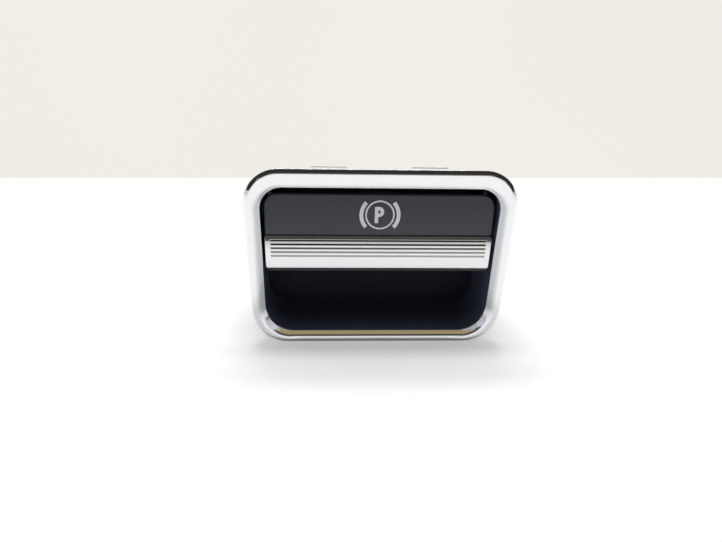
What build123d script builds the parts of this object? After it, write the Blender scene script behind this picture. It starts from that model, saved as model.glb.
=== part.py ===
from build123d import *
import math
import os

# Parking brake switch for a dashboard panel: a pull and push rocker handle in a bright bezel.
# Millimetres. The origin is the middle of the panel seat, which is the back of the flange.
# The driver's side is at -Y, the wiring side at +Y, and +Z is up.

# Bezel: an upright rounded trapezoid, wider at the top
BEZEL_TOP = 21.0
BEZEL_BOTTOM = -22.5
BEZEL_TOP_HALF = 33.3
BEZEL_BOTTOM_HALF = 29.65
BEZEL_TOP_RADIUS = 8.0
BEZEL_BOTTOM_RADIUS = 9.2
BEZEL_DEPTH = 2.4
RIM_FACET_WIDE = 1.1
RIM_FACET_DEEP = 0.6
BEZEL_SKIRT = 0.7
BEZEL_LIFT = 0.3
BEVEL_WIDE = 1.25
BEVEL_DEEP = 0.75

# Opening in the bezel, at the deep end of its inner bevel
OPENING_TOP = 16.4
OPENING_BOTTOM = -19.9
OPENING_TOP_HALF = 29.2
OPENING_BOTTOM_HALF = 26.7
OPENING_TOP_RADIUS = 5.3
OPENING_BOTTOM_RADIUS = 6.9

# Pegs that place the bezel on the flange
PEG_RADIUS = 0.7
PEG_LENGTH = 0.9
PEG_CLEARANCE = 0.05
PEG_SPREAD = 15.0

# Front housing
FLANGE = 1.2
FIT = 0.05
WALL = 1.3
FRONT_DEPTH = 18.5
FRONT_DRAFT = 6.0
ROOF_START = 2.5
ROOF_DROP_START = 17.5
ROOF_SLOPE = 18.0
POCKET_BACK = 13.2
POCKET_WALL = 1.5
SHELF_TOP = 0.6
LUG_OFFSET = 13.0
LUG_WIDTH = 4.0
PANEL_THICKNESS = 2.6

# Rear housing
REAR_DEPTH = 14.5
REAR_DRAFT = 15.0

# Handle and its hinge
HINGE_Y = 7.0
HINGE_Z = 10.0
PULL_ANGLE = 7.0
PUSH_ANGLE = 5.0
CAP_TOP = 14.1
CAP_BOTTOM = 4.15
CAP_TOP_HALF = 27.9
CAP_BOTTOM_HALF = 27.4
CAP_TOP_RADIUS = 3.2
CAP_CORNER = 0.3
CAP_THICKNESS = 1.7
CAP_EDGE_ROUND = 0.3
CAP_FACE_Y = 0.0
CAP_CREST_Z = 3.5
CAP_CURVE = 75.0
STRIP_TOP = 3.7
STRIP_BOTTOM = -4.35
STRIP_TOP_HALF = 27.5
STRIP_BOTTOM_HALF = 27.0
STRIP_BOTTOM_RADIUS = 0.5
STRIP_CREST_Z = -1.5
STRIP_CREST_Y = -0.5
STRIP_CURVE = 22.0
STRIP_SEAT_Y = 1.9
GROOVES = 5
GROOVE_PITCH = 0.98
GROOVE_FIRST_Z = 2.78
GROOVE_WIDTH = 0.7
GROOVE_DEEP = 0.12
GROOVE_INSET = 1.25
STAKE_RADIUS = 0.8
STAKE_LENGTH = 1.6
STAKE_SPREAD = 16.0
LIP_DROP = 0.75
PLATE_THICKNESS = 2.6
PLATE_HALF = 25.2
PLATE_TOP = 13.2
PLATE_TOP_RADIUS = 5.5
HOOD_WALL = 1.0
HOOD_BACK = 9.5
CHEEK_OUTER = 22.5
CHEEK_THICKNESS = 2.0
CHEEK_GAP = 1.1
HUB_RADIUS = 3.4
WEB_BOTTOM = 2.2
WEB_THICKNESS = 1.8
WEB_BACK = 12.0
BAR_FRONT = 13.4
BAR_BACK = 16.2
BAR_BOTTOM = 4.0
BAR_TOP = 6.0

# Hinge pins and bushes
PIN_RADIUS = 1.5
PIN_START = 20.5
BUSH_CLEARANCE = 0.04
BUSH_WALL = 1.1
BUSH_LENGTH = 2.6
BUSH_HEAD = 0.8
BUSH_HEAD_WALL = 1.7

# Symbol: a P in a circle between two brackets
SYMBOL_Z = 9.2
SYMBOL_RADIUS = 3.55
SYMBOL_LINE = 0.4
BRACKET_RADIUS = 4.95
BRACKET_LINE = 0.95
BRACKET_HALF_ANGLE = 42.0
LETTER_HEIGHT = 4.0
LETTER_LINE = 0.85
LETTER_BOWL = 1.25
SYMBOL_DEPTH = 0.5
SYMBOL_PROUD = 0.02

# Light guide
GUIDE_WIDTH = 12.4
GUIDE_HEIGHT = 8.6
GUIDE_CLEARANCE = 0.1
GUIDE_END = 14.0
GUIDE_END_SIZE = 3.6
GUIDE_END_Z = 9.4

# Drive arm, slider and guide
DRIVE_X = 8.0
DRIVE_REACH = 11.0
BALL_RADIUS = 1.0
BALL_CLEARANCE = 0.1
ARM_WIDTH = 1.4
JAW_WIDTH = 5.0
JAW_WALL = 1.2
SLIDER_GAP = 1.5
SLIDER_DEPTH = 3.6
SLIDER_HALF = 4.0
SLIDER_BOTTOM = -3.5
RIB = 0.9
RIB_OFFSET = 1.3
RIB_DEPTH = 1.2
RUN_CLEARANCE = 0.1
RAIL_WIDTH = 2.2
RAIL_BOTTOM = -6.6
RAIL_TOP = 7.4

# Circuit board
WIPER_ROOM = 1.4
BOARD_THICKNESS = 1.6
BOARD_HALF = 19.0
BOARD_TOP = 8.0
BOARD_BOTTOM = -15.0
BOARD_SCREW_X = 16.0
BOARD_SCREW_Z = -9.0
BOARD_SCREW_RADIUS = 1.1
BOARD_BOSS_RADIUS = 2.6
TRACK_WIDTH = 1.6
TRACK_THICKNESS = 0.05
TRACK_SPREAD = 2.0
WIPER_WIDTH = 1.0
WIPER_THICKNESS = 0.2

# Connector
SHROUD_WIDTH = 19.2
SHROUD_HEIGHT = 9.6
SHROUD_WALL = 1.2
SHROUD_LENGTH = 12.0
SHROUD_FLOOR = 2.0
SHROUD_Z = -8.5
SHROUD_GAP = 0.15
PIN_COLUMNS = 6
PIN_ROWS = 2
PIN_PITCH = 2.54
PIN_SIZE = 0.64
PIN_REACH = 5.5

# Housing screws
SCREW_TOP_Z = 5.0
SCREW_BOTTOM_Z = -13.0
SCREW_BOSS_RADIUS = 2.6
SCREW_BOSS_PROUD = 0.6
SCREW_EAR = 3.0
SCREW_RADIUS = 1.1
SCREW_HEAD_RADIUS = 2.1
SCREW_HEAD = 1.6
SCREW_GRIP = 4.5
SCREW_HOLE_CLEARANCE = 0.15
SCREW_POCKET_WALL = 1.0
RECESS_SIZE = 1.9
RECESS_WIDTH = 0.5
RECESS_DEEP = 0.8

# Springs that return the handle
SPRING_X = 16.0
SPRING_Y = 14.9
SPRING_RADIUS = 1.2
SPRING_WIRE = 0.18
SPRING_TURNS = 5
SPRING_SEAT_GAP = 0.06
UPPER_SEAT_Z = 9.6
UPPER_SEAT_SIZE = 3.6

# Stop pads
PAD_X = 11.0
PAD_SIZE = 3.0
PAD_THICKNESS = 1.0
PAD_LIMIT_GAP = 0.12

# Retaining clips on the roof
CLIP_X = 12.2
CLIP_WIDTH = 8.6
CLIP_STEEL = 0.4
CLIP_CREST_Y = 5.2
CLIP_CREST_Z = 19.7
CLIP_FOOT_Y = 14.0
CLIP_FOOT_LENGTH = 3.6
CLIP_POST = 1.2
CLIP_POST_PROUD = 0.9

SYMBOL_WINDOW_HALF = GUIDE_WIDTH / 2 + GUIDE_CLEARANCE
PLATE_FRONT = CAP_FACE_Y + CAP_THICKNESS
PLATE_BACK = STRIP_SEAT_Y + PLATE_THICKNESS
LIP_BOTTOM = STRIP_BOTTOM - LIP_DROP
SLIDER_FRONT = FRONT_DEPTH + SLIDER_GAP
SLIDER_BACK = SLIDER_FRONT + SLIDER_DEPTH
RIB_FRONT = SLIDER_FRONT + RIB_OFFSET
RIB_BACK = RIB_FRONT + RIB_DEPTH
JAW_FRONT = HINGE_Y + DRIVE_REACH - BALL_RADIUS
BOARD_Y = SLIDER_BACK + WIPER_ROOM
BOARD_BACK = BOARD_Y + BOARD_THICKNESS
BALL_Y = HINGE_Y + DRIVE_REACH
BALL_Z = (BAR_BOTTOM + BAR_TOP) / 2
REAR_BACK = FRONT_DEPTH + REAR_DEPTH
SHROUD_BACK = BOARD_BACK + SHROUD_LENGTH
SIDES = (-1, 1)


def at_y(y):
    """Plane across the part at depth y, with its own y axis pointing up."""
    return Plane(origin=(0, y, 0), x_dir=(1, 0, 0), z_dir=(0, -1, 0))


def trapezoid(y, top, bottom, top_half, bottom_half, top_radius, bottom_radius, inset=0.0):
    """Rounded trapezoid face at depth y, moved in on every side by inset."""
    slope = (top_half - bottom_half) / (top - bottom)
    slant = math.sqrt(1 + slope * slope)

    def half_at(z):
        return bottom_half + slope * (z - bottom) - inset * slant

    high = top - inset
    low = bottom + inset
    corners = [(-half_at(high), high), (half_at(high), high), (half_at(low), low), (-half_at(low), low)]
    face = Polygon(*corners, align=None)
    face = fillet(face.vertices().group_by(Axis.Y)[-1], max(top_radius - inset, 0.2))
    face = fillet(face.vertices().group_by(Axis.Y)[0], max(bottom_radius - inset, 0.2))
    return at_y(y) * face


def bezel_outline(y, inset=0.0):
    return trapezoid(y, BEZEL_TOP, BEZEL_BOTTOM, BEZEL_TOP_HALF, BEZEL_BOTTOM_HALF,
                     BEZEL_TOP_RADIUS, BEZEL_BOTTOM_RADIUS, inset)


def opening_outline(y, inset=0.0):
    return trapezoid(y, OPENING_TOP, OPENING_BOTTOM, OPENING_TOP_HALF, OPENING_BOTTOM_HALF,
                     OPENING_TOP_RADIUS, OPENING_BOTTOM_RADIUS, inset)


def cap_outline(y, inset=0.0):
    return trapezoid(y, CAP_TOP, CAP_BOTTOM, CAP_TOP_HALF, CAP_BOTTOM_HALF,
                     CAP_TOP_RADIUS, CAP_CORNER, inset)


def strip_outline(y, inset=0.0):
    return trapezoid(y, STRIP_TOP, STRIP_BOTTOM, STRIP_TOP_HALF, STRIP_BOTTOM_HALF,
                     CAP_CORNER, STRIP_BOTTOM_RADIUS, inset)


def rearward(face, length):
    return extrude(face, amount=length, dir=(0, 1, 0))


def block(x, y, z):
    """Box between pairs of limits along each axis."""
    return Pos(x[0], y[0], z[0]) * Box(x[1] - x[0], y[1] - y[0], z[1] - z[0], align=Align.MIN)


def rod(x, z, y_start, y_end, radius):
    """Cylinder along Y."""
    return rearward(Plane(origin=(x, y_start, z), x_dir=(1, 0, 0), z_dir=(0, -1, 0)) * Circle(radius),
                    y_end - y_start)


def axle(x_start, x_end, radius):
    """Cylinder along the hinge line."""
    plane = Plane(origin=(x_start, HINGE_Y, HINGE_Z), x_dir=(0, 1, 0), z_dir=(1, 0, 0))
    return extrude(plane * Circle(radius), amount=x_end - x_start)


def side_profile(points, x_start, x_end):
    """Solid between two x values from (y, z) points."""
    plane = Plane(origin=(x_start, 0, 0), x_dir=(0, 1, 0), z_dir=(1, 0, 0))
    return extrude(plane * Polygon(*points, align=None), amount=x_end - x_start, dir=(1, 0, 0))


def inset_at(y, draft, start=0.0):
    return (y - start) * math.tan(math.radians(draft))


def roof_z(y, drop=0.0):
    """Height of the sloping roof at depth y."""
    return ROOF_DROP_START - (y - ROOF_START) * math.tan(math.radians(ROOF_SLOPE)) - drop


def under_roof(drop=0.0):
    """Everything below the sloping roof line, moved down by drop."""
    far = REAR_BACK + WALL
    near = -BEZEL_DEPTH - WALL
    high = BEZEL_TOP + WALL
    low = BEZEL_BOTTOM - WALL
    points = [(near, low), (near, high), (ROOF_START, high), (ROOF_START, roof_z(ROOF_START, drop)),
              (far, roof_z(far, drop)), (far, low)]
    return side_profile(points, -BEZEL_TOP_HALF, BEZEL_TOP_HALF)


def opening_half(z, inset=0.0):
    slope = (OPENING_TOP_HALF - OPENING_BOTTOM_HALF) / (OPENING_TOP - OPENING_BOTTOM)
    return OPENING_BOTTOM_HALF + slope * (z - OPENING_BOTTOM) - inset * math.sqrt(1 + slope * slope)


def bezel_peg_places():
    top_z = (OPENING_TOP + BEZEL_TOP) / 2
    side_x = (opening_half(0) + BEZEL_TOP_HALF) / 2
    return [(-PEG_SPREAD, top_z), (PEG_SPREAD, top_z), (-side_x, 0), (side_x, 0)]


def bezel_frame():
    """Plated ring with a facet round its rim and an inner bevel; its skirt hides the flange edge."""
    rim_y = -BEZEL_DEPTH + RIM_FACET_DEEP
    ring = rearward(bezel_outline(rim_y), -rim_y - BEZEL_LIFT)
    ring += loft([bezel_outline(-BEZEL_DEPTH, RIM_FACET_WIDE), bezel_outline(rim_y)])
    ring -= rearward(bezel_outline(-FLANGE, BEZEL_SKIRT), FLANGE)
    ring -= rearward(opening_outline(-BEZEL_DEPTH), BEZEL_DEPTH)
    ring -= loft([opening_outline(-BEZEL_DEPTH, -BEVEL_WIDE), opening_outline(-BEZEL_DEPTH + BEVEL_DEEP)])
    for x, z in bezel_peg_places():
        ring += rod(x, z, -FLANGE, -FLANGE + PEG_LENGTH, PEG_RADIUS)
    return ring


def screw_places():
    """Housing screw centres: the upper pair clears the handle's cheeks, the lower pair follows the wall."""
    inset = inset_at(FRONT_DEPTH, FRONT_DRAFT) - WALL
    top_x = CHEEK_OUTER + CHEEK_GAP + SCREW_BOSS_RADIUS
    bottom_x = opening_half(SCREW_BOTTOM_Z, inset) - SCREW_BOSS_RADIUS + SCREW_BOSS_PROUD
    places = [(side * top_x, SCREW_TOP_Z) for side in SIDES]
    return places + [(side * bottom_x, SCREW_BOTTOM_Z) for side in SIDES]


def screw_rib(x, z, y_start, y_end):
    """Rib that ties a screw boss to the wall beside it."""
    far = BEZEL_TOP_HALF if x > 0 else -BEZEL_TOP_HALF
    return block((min(x, far), max(x, far)), (y_start, y_end), (z - WALL / 2, z + WALL / 2))


def front_shell(inset, start):
    rear_inset = inset + inset_at(FRONT_DEPTH, FRONT_DRAFT)
    front_inset = inset + inset_at(start, FRONT_DRAFT)
    return loft([opening_outline(start, front_inset), opening_outline(FRONT_DEPTH, rear_inset)])


def lugs():
    """Two fixed hooks under the housing: they catch behind the panel and the part stands on them."""
    solid = None
    for side in SIDES:
        middle = side * LUG_OFFSET
        x = (middle - LUG_WIDTH / 2, middle + LUG_WIDTH / 2)
        lug = block(x, (PANEL_THICKNESS, FRONT_DEPTH), (BEZEL_BOTTOM, OPENING_BOTTOM))
        solid = lug if solid is None else solid + lug
    return solid


def clip_post(x):
    middle_y = CLIP_FOOT_Y + CLIP_FOOT_LENGTH / 2
    z = roof_z(middle_y)
    return Pos(x, middle_y, z) * Box(CLIP_POST, CLIP_POST, 2 * CLIP_POST_PROUD)


def front_housing():
    """Flange, collar, finger pocket and handle bay in one moulding."""
    flange = rearward(bezel_outline(-FLANGE, BEZEL_SKIRT + FIT), FLANGE)
    outer = front_shell(-WALL, 0.0) & under_roof()
    cavity = front_shell(0.0, -FLANGE) & under_roof(WALL)
    for x, z in screw_places():
        outer += rod(x, z, POCKET_BACK, FRONT_DEPTH, SCREW_BOSS_RADIUS)
    wide = (-BEZEL_TOP_HALF, BEZEL_TOP_HALF)
    back_wall = block(wide, (POCKET_BACK, POCKET_BACK + POCKET_WALL), (BEZEL_BOTTOM, SHELF_TOP))
    shelf = block(wide, (POCKET_BACK, FRONT_DEPTH), (SHELF_TOP - POCKET_WALL, SHELF_TOP))
    cavity = cavity - back_wall - shelf
    for x, z in screw_places():
        cavity -= rod(x, z, POCKET_BACK, FRONT_DEPTH, SCREW_BOSS_RADIUS)
        cavity -= screw_rib(x, z, POCKET_BACK, FRONT_DEPTH)
    body = flange + outer + lugs() - cavity
    for side in SIDES:
        seat_x = (side * SPRING_X - UPPER_SEAT_SIZE / 2, side * SPRING_X + UPPER_SEAT_SIZE / 2)
        seat_y = (SPRING_Y - UPPER_SEAT_SIZE / 2, SPRING_Y + UPPER_SEAT_SIZE / 2)
        body += block(seat_x, seat_y, (UPPER_SEAT_Z, roof_z(SPRING_Y, WALL / 2)))
        pad_x = (side * PAD_X - PAD_SIZE / 2, side * PAD_X + PAD_SIZE / 2)
        body += block(pad_x, seat_y, (push_pad_z() + PAD_THICKNESS, roof_z(SPRING_Y, WALL / 2)))
        inner = opening_half(HINGE_Z, inset_at(HINGE_Y, FRONT_DRAFT))
        boss_start = inner + WALL - BUSH_LENGTH
        start = boss_start if side > 0 else -inner - WALL
        body += axle(start, start + BUSH_LENGTH, PIN_RADIUS + BUSH_WALL + WALL)
        body -= axle(start - WALL, start + BUSH_LENGTH + WALL, PIN_RADIUS + BUSH_CLEARANCE + BUSH_WALL)
        head_start = start - BUSH_HEAD if side > 0 else start + BUSH_LENGTH
        body -= axle(head_start, head_start + BUSH_HEAD, PIN_RADIUS + BUSH_CLEARANCE + BUSH_HEAD_WALL + FIT)
        body += clip_post(side * CLIP_X)
    for x, z in bezel_peg_places():
        body -= rod(x, z, -FLANGE, 0, PEG_RADIUS + PEG_CLEARANCE)
    for x, z in screw_places():
        body -= rod(x, z, FRONT_DEPTH - SCREW_GRIP, FRONT_DEPTH, SCREW_RADIUS)
    return body


def reach_of(y, z):
    """Distance and direction of a point from the hinge line."""
    return math.hypot(y - HINGE_Y, z - HINGE_Z), math.atan2(z - HINGE_Z, y - HINGE_Y)


def height_when_turned(y, z, degrees):
    """Height of a handle point when the handle has turned about the hinge."""
    reach, angle = reach_of(y, z)
    return HINGE_Z + reach * math.sin(angle + math.radians(degrees))


def push_pad_z():
    """Underside of the pads that stop the push."""
    return height_when_turned(SPRING_Y + PAD_SIZE / 2, BAR_TOP, PUSH_ANGLE) + PAD_LIMIT_GAP


def pull_pad_z():
    """Top of the pads that stop the pull."""
    return height_when_turned(SPRING_Y + PAD_SIZE / 2, BAR_BOTTOM, -PULL_ANGLE) - PAD_LIMIT_GAP


def letter_p():
    """Letter drawn from a stem and a half ring."""
    low = -LETTER_HEIGHT / 2
    high = LETTER_HEIGHT / 2
    bowl_z = high - LETTER_BOWL
    left = -LETTER_BOWL
    stem = Pos(left, low) * Rectangle(LETTER_LINE, LETTER_HEIGHT, align=Align.MIN)
    arm_length = LETTER_BOWL * 0.8
    arm = Pos(left, high - LETTER_LINE) * Rectangle(arm_length, LETTER_LINE, align=Align.MIN)
    foot = Pos(left, high - 2 * LETTER_BOWL) * Rectangle(arm_length, LETTER_LINE, align=Align.MIN)
    ring = Circle(LETTER_BOWL) - Circle(LETTER_BOWL - LETTER_LINE)
    ring -= Pos(-LETTER_BOWL, 0) * Rectangle(2 * LETTER_BOWL, 2 * LETTER_BOWL)
    bowl = Pos(left + arm_length, bowl_z) * ring
    return stem + arm + foot + bowl


def bracket(side):
    ring = Circle(BRACKET_RADIUS) - Circle(BRACKET_RADIUS - BRACKET_LINE)
    tall = 2 * BRACKET_RADIUS * math.tan(math.radians(BRACKET_HALF_ANGLE))
    wedge = Polygon((0, 0), (side * 2 * BRACKET_RADIUS, tall), (side * 2 * BRACKET_RADIUS, -tall), align=None)
    return ring & wedge


def symbol_faces():
    centre = Plane(origin=(0, CAP_FACE_Y, SYMBOL_Z), x_dir=(1, 0, 0), z_dir=(0, -1, 0))
    ring = Circle(SYMBOL_RADIUS) - Circle(SYMBOL_RADIUS - SYMBOL_LINE)
    shapes = [ring, letter_p()] + [bracket(side) for side in SIDES]
    return [centre * shape for shape in shapes]


def barrelled(crest_y, crest_z, curve, top, bottom, back):
    """Solid from a barrelled front surface to a flat back, right across the handle."""
    front = [(crest_y + (z - crest_z) ** 2 / (2 * curve), z) for z in (top, (top + bottom) / 2, bottom)]
    plane = Plane(origin=(-BEZEL_TOP_HALF, 0, 0), x_dir=(0, 1, 0), z_dir=(1, 0, 0))
    edges = Wire([ThreePointArc(*front), Line(front[2], (back, bottom)), Line((back, bottom), (back, top)),
                  Line((back, top), front[0])])
    return extrude(plane * Face(edges), amount=2 * BEZEL_TOP_HALF, dir=(1, 0, 0))


def cap_body(behind=0.0):
    """Everything behind the cap's front surface, or behind the surface that far back from it."""
    return barrelled(CAP_FACE_Y + behind, CAP_CREST_Z, CAP_CURVE, CAP_TOP, CAP_BOTTOM, PLATE_FRONT + FLANGE)


def symbol_prisms():
    return [rearward(Pos(0, -BEZEL_DEPTH, 0) * face, BEZEL_DEPTH + PLATE_FRONT) for face in symbol_faces()]


def brake_symbol():
    """Light grey inlay, let into the cap almost flush."""
    layer = cap_body(-SYMBOL_PROUD) - cap_body(SYMBOL_DEPTH)
    solids = [prism & layer for prism in symbol_prisms()]
    return Compound(children=[solid for group in solids for solid in group.solids()])


def handle_cap():
    """Dark satin upper panel of the handle, with a recess for the symbol."""
    cap = rearward(cap_outline(-BEZEL_DEPTH), BEZEL_DEPTH + PLATE_FRONT) & cap_body()
    cap = fillet(cap.faces().sort_by(Axis.Y)[0].edges(), CAP_EDGE_ROUND)
    layer = cap_body(-WALL) - cap_body(SYMBOL_DEPTH)
    for prism in symbol_prisms():
        cap -= prism & layer
    return cap


def strip_front_y(z):
    """Depth of the strip's barrelled front at height z."""
    return STRIP_CREST_Y + (z - STRIP_CREST_Z) ** 2 / (2 * STRIP_CURVE)


def stake_places():
    middle_z = (STRIP_TOP + STRIP_BOTTOM) / 2
    return [(-STAKE_SPREAD, middle_z), (0, middle_z), (STAKE_SPREAD, middle_z)]


def pull_strip():
    """Metal-coloured bar with shallow grooves, staked to the carrier behind it."""
    strip = rearward(strip_outline(-BEZEL_DEPTH), STRIP_SEAT_Y + BEZEL_DEPTH)
    strip &= barrelled(STRIP_CREST_Y, STRIP_CREST_Z, STRIP_CURVE, STRIP_TOP, STRIP_BOTTOM, STRIP_SEAT_Y)
    between_ends = rearward(strip_outline(-BEZEL_DEPTH, GROOVE_INSET), STRIP_SEAT_Y + BEZEL_DEPTH)
    for number in range(GROOVES):
        z = GROOVE_FIRST_Z - number * GROOVE_PITCH
        low = z - GROOVE_WIDTH / 2
        high = z + GROOVE_WIDTH / 2
        points = [(-BEZEL_DEPTH, low), (strip_front_y(low), low), (strip_front_y(z) + GROOVE_DEEP, z),
                  (strip_front_y(high), high), (-BEZEL_DEPTH, high)]
        strip -= side_profile(points, -BEZEL_TOP_HALF, BEZEL_TOP_HALF) & between_ends
    for x, z in stake_places():
        strip += rod(x, z, STRIP_SEAT_Y, STRIP_SEAT_Y + STAKE_LENGTH, STAKE_RADIUS)
    return strip


def cheek(side):
    """Arm from the front plate to the hinge hub and the rear bar."""
    inner = CHEEK_OUTER - CHEEK_THICKNESS
    x = (inner, CHEEK_OUTER) if side > 0 else (-CHEEK_OUTER, -inner)
    points = [(PLATE_BACK, WEB_BOTTOM), (PLATE_BACK, HINGE_Z + HUB_RADIUS), (HINGE_Y, HINGE_Z + HUB_RADIUS),
              (HINGE_Y + HUB_RADIUS, HINGE_Z), (BAR_BACK, BAR_TOP), (BAR_BACK, BAR_BOTTOM),
              (WEB_BACK, WEB_BOTTOM)]
    arm = side_profile(points, *x)
    return arm + axle(x[0], x[1], HUB_RADIUS)


def drive_arm():
    """Short arm behind the bar that ends in a ball and moves the slider."""
    half = ARM_WIDTH / 2
    arm = block((DRIVE_X - half, DRIVE_X + half), (BAR_FRONT, BALL_Y), (BALL_Z - half, BALL_Z + half))
    return arm + Pos(DRIVE_X, BALL_Y, BALL_Z) * Sphere(BALL_RADIUS)


def light_window():
    middle = SYMBOL_Z
    half_height = GUIDE_HEIGHT / 2 + GUIDE_CLEARANCE
    return block((-SYMBOL_WINDOW_HALF, SYMBOL_WINDOW_HALF), (PLATE_FRONT - FLANGE, PLATE_BACK + FLANGE),
                 (middle - half_height, middle + half_height))


def handle_carrier():
    """Moulding behind the cap and the strip: plate, hood, lip, finger web, cheeks, rear bar and drive arm."""
    plate_face = trapezoid(PLATE_FRONT, PLATE_TOP, LIP_BOTTOM, PLATE_HALF, PLATE_HALF,
                           PLATE_TOP_RADIUS, STRIP_BOTTOM_RADIUS)
    carrier = rearward(plate_face, PLATE_BACK - PLATE_FRONT)
    hood_outline = trapezoid(PLATE_FRONT, PLATE_TOP, WEB_BOTTOM, PLATE_HALF, PLATE_HALF, PLATE_TOP_RADIUS, CAP_CORNER)
    hood_inside = trapezoid(PLATE_BACK, PLATE_TOP, WEB_BOTTOM, PLATE_HALF, PLATE_HALF, PLATE_TOP_RADIUS,
                            CAP_CORNER, HOOD_WALL)
    carrier += rearward(hood_outline, HOOD_BACK - PLATE_FRONT) - rearward(hood_inside, HOOD_BACK)
    low_front = block((-BEZEL_TOP_HALF, BEZEL_TOP_HALF), (PLATE_FRONT - FLANGE, STRIP_SEAT_Y),
                      (LIP_BOTTOM - FLANGE, STRIP_TOP))
    carrier -= low_front
    lip_half = STRIP_BOTTOM_HALF - STRIP_BOTTOM_RADIUS
    lip_front = strip_front_y(STRIP_BOTTOM)
    lip_points = [(lip_front + FIT, STRIP_BOTTOM), (STRIP_SEAT_Y, STRIP_BOTTOM),
                  (STRIP_SEAT_Y, LIP_BOTTOM), (lip_front + LIP_DROP, LIP_BOTTOM)]
    carrier += side_profile(lip_points, -lip_half, lip_half)
    web = block((-CHEEK_OUTER, CHEEK_OUTER), (STRIP_SEAT_Y, WEB_BACK), (WEB_BOTTOM, WEB_BOTTOM + WEB_THICKNESS))
    bar = block((-CHEEK_OUTER, CHEEK_OUTER), (BAR_FRONT, BAR_BACK), (BAR_BOTTOM, BAR_TOP))
    carrier += web + bar + cheek(-1) + cheek(1) + drive_arm()
    carrier -= light_window()
    carrier -= axle(-BEZEL_TOP_HALF, BEZEL_TOP_HALF, PIN_RADIUS)
    for x, z in stake_places():
        carrier -= rod(x, z, STRIP_SEAT_Y, STRIP_SEAT_Y + STAKE_LENGTH, STAKE_RADIUS)
    return carrier


def light_guide():
    """Clear block behind the symbol that narrows to face the lamp on the board."""
    centre = at_y(PLATE_FRONT)
    block_face = centre * Pos(0, SYMBOL_Z) * Rectangle(GUIDE_WIDTH, GUIDE_HEIGHT)
    front = rearward(block_face, PLATE_THICKNESS)
    wide = at_y(PLATE_FRONT + PLATE_THICKNESS) * Pos(0, SYMBOL_Z) * Rectangle(GUIDE_WIDTH / 2, GUIDE_HEIGHT / 2)
    narrow = at_y(GUIDE_END) * Pos(0, GUIDE_END_Z) * Rectangle(GUIDE_END_SIZE, GUIDE_END_SIZE)
    return front + loft([wide, narrow])


def pin_end():
    """Outer end of each hinge pin, level with the outside of the wall."""
    return opening_half(HINGE_Z, inset_at(HINGE_Y, FRONT_DRAFT)) + WALL - BUSH_CLEARANCE


def hinge_pins():
    """Two short steel dowels, pressed in the carrier's hubs."""
    solids = [axle(PIN_START, pin_end(), PIN_RADIUS), axle(-pin_end(), -PIN_START, PIN_RADIUS)]
    return Compound(children=solids)


def hinge_bush(side):
    """Plastic bush in the housing wall, with a head towards the handle."""
    outer_end = opening_half(HINGE_Z, inset_at(HINGE_Y, FRONT_DRAFT)) + WALL
    start = outer_end - BUSH_LENGTH
    head = start - BUSH_HEAD
    bore = PIN_RADIUS + BUSH_CLEARANCE
    body = axle(start, outer_end, bore + BUSH_WALL) + axle(head, start, bore + BUSH_HEAD_WALL)
    bush = body - axle(head, outer_end, bore)
    return bush if side > 0 else mirror(bush, about=Plane.YZ)


def contact_slider():
    """Plastic slider with a fork that the ball lifts and lowers."""
    gap = BALL_RADIUS + BALL_CLEARANCE
    jaw_x = (DRIVE_X - JAW_WIDTH / 2, DRIVE_X + JAW_WIDTH / 2)
    top = BALL_Z + gap + JAW_WALL
    body = block((DRIVE_X - SLIDER_HALF, DRIVE_X + SLIDER_HALF), (SLIDER_FRONT, SLIDER_BACK), (SLIDER_BOTTOM, top))
    body += block(jaw_x, (JAW_FRONT, SLIDER_FRONT), (BALL_Z - gap - JAW_WALL, top))
    body -= block(jaw_x, (JAW_FRONT, SLIDER_FRONT), (BALL_Z - gap, BALL_Z + gap))
    rib_half = SLIDER_HALF + RIB
    return body + block((DRIVE_X - rib_half, DRIVE_X + rib_half), (RIB_FRONT, RIB_BACK), (SLIDER_BOTTOM, top))


def slider_guide():
    """Frame on the board whose two rails hold the slider's ribs."""
    inner = SLIDER_HALF + RUN_CLEARANCE
    outer = inner + RAIL_WIDTH
    guide = block((DRIVE_X - outer, DRIVE_X + outer), (SLIDER_FRONT, BOARD_Y), (RAIL_BOTTOM, RAIL_TOP))
    guide -= block((DRIVE_X - inner, DRIVE_X + inner), (SLIDER_FRONT, BOARD_Y),
                   (RAIL_BOTTOM + WALL, RAIL_TOP))
    groove = SLIDER_HALF + RIB + RUN_CLEARANCE
    guide -= block((DRIVE_X - groove, DRIVE_X + groove), (RIB_FRONT - RUN_CLEARANCE, RIB_BACK + RUN_CLEARANCE),
                   (RAIL_BOTTOM + WALL, RAIL_TOP))
    return guide


def wiper(x):
    """Bent spring contact: a foot on the slider and a leaf that leans to the board."""
    z_low = SLIDER_BOTTOM + WIPER_WIDTH
    z_high = BALL_Z
    back = BOARD_Y - TRACK_THICKNESS - RUN_CLEARANCE / 2
    thick = WIPER_THICKNESS
    points = [(SLIDER_BACK, z_high), (SLIDER_BACK + thick, z_high), (SLIDER_BACK + thick, z_low + thick),
              (back, (z_low + z_high) / 2 - thick), (back, (z_low + z_high) / 2 - 3 * thick),
              (SLIDER_BACK + thick, z_low - thick), (SLIDER_BACK, z_low - thick)]
    return side_profile(points, x - WIPER_WIDTH / 2, x + WIPER_WIDTH / 2)


def slider_contacts():
    return Compound(children=[wiper(DRIVE_X + side * TRACK_SPREAD) for side in SIDES])


def wiper_tracks():
    """Plated tracks on the board under the wipers."""
    half = TRACK_WIDTH / 2
    tracks = [block((DRIVE_X + side * TRACK_SPREAD - half, DRIVE_X + side * TRACK_SPREAD + half),
                    (BOARD_Y - TRACK_THICKNESS, BOARD_Y), (SLIDER_BOTTOM, BALL_Z)) for side in SIDES]
    return Compound(children=tracks)


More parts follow.
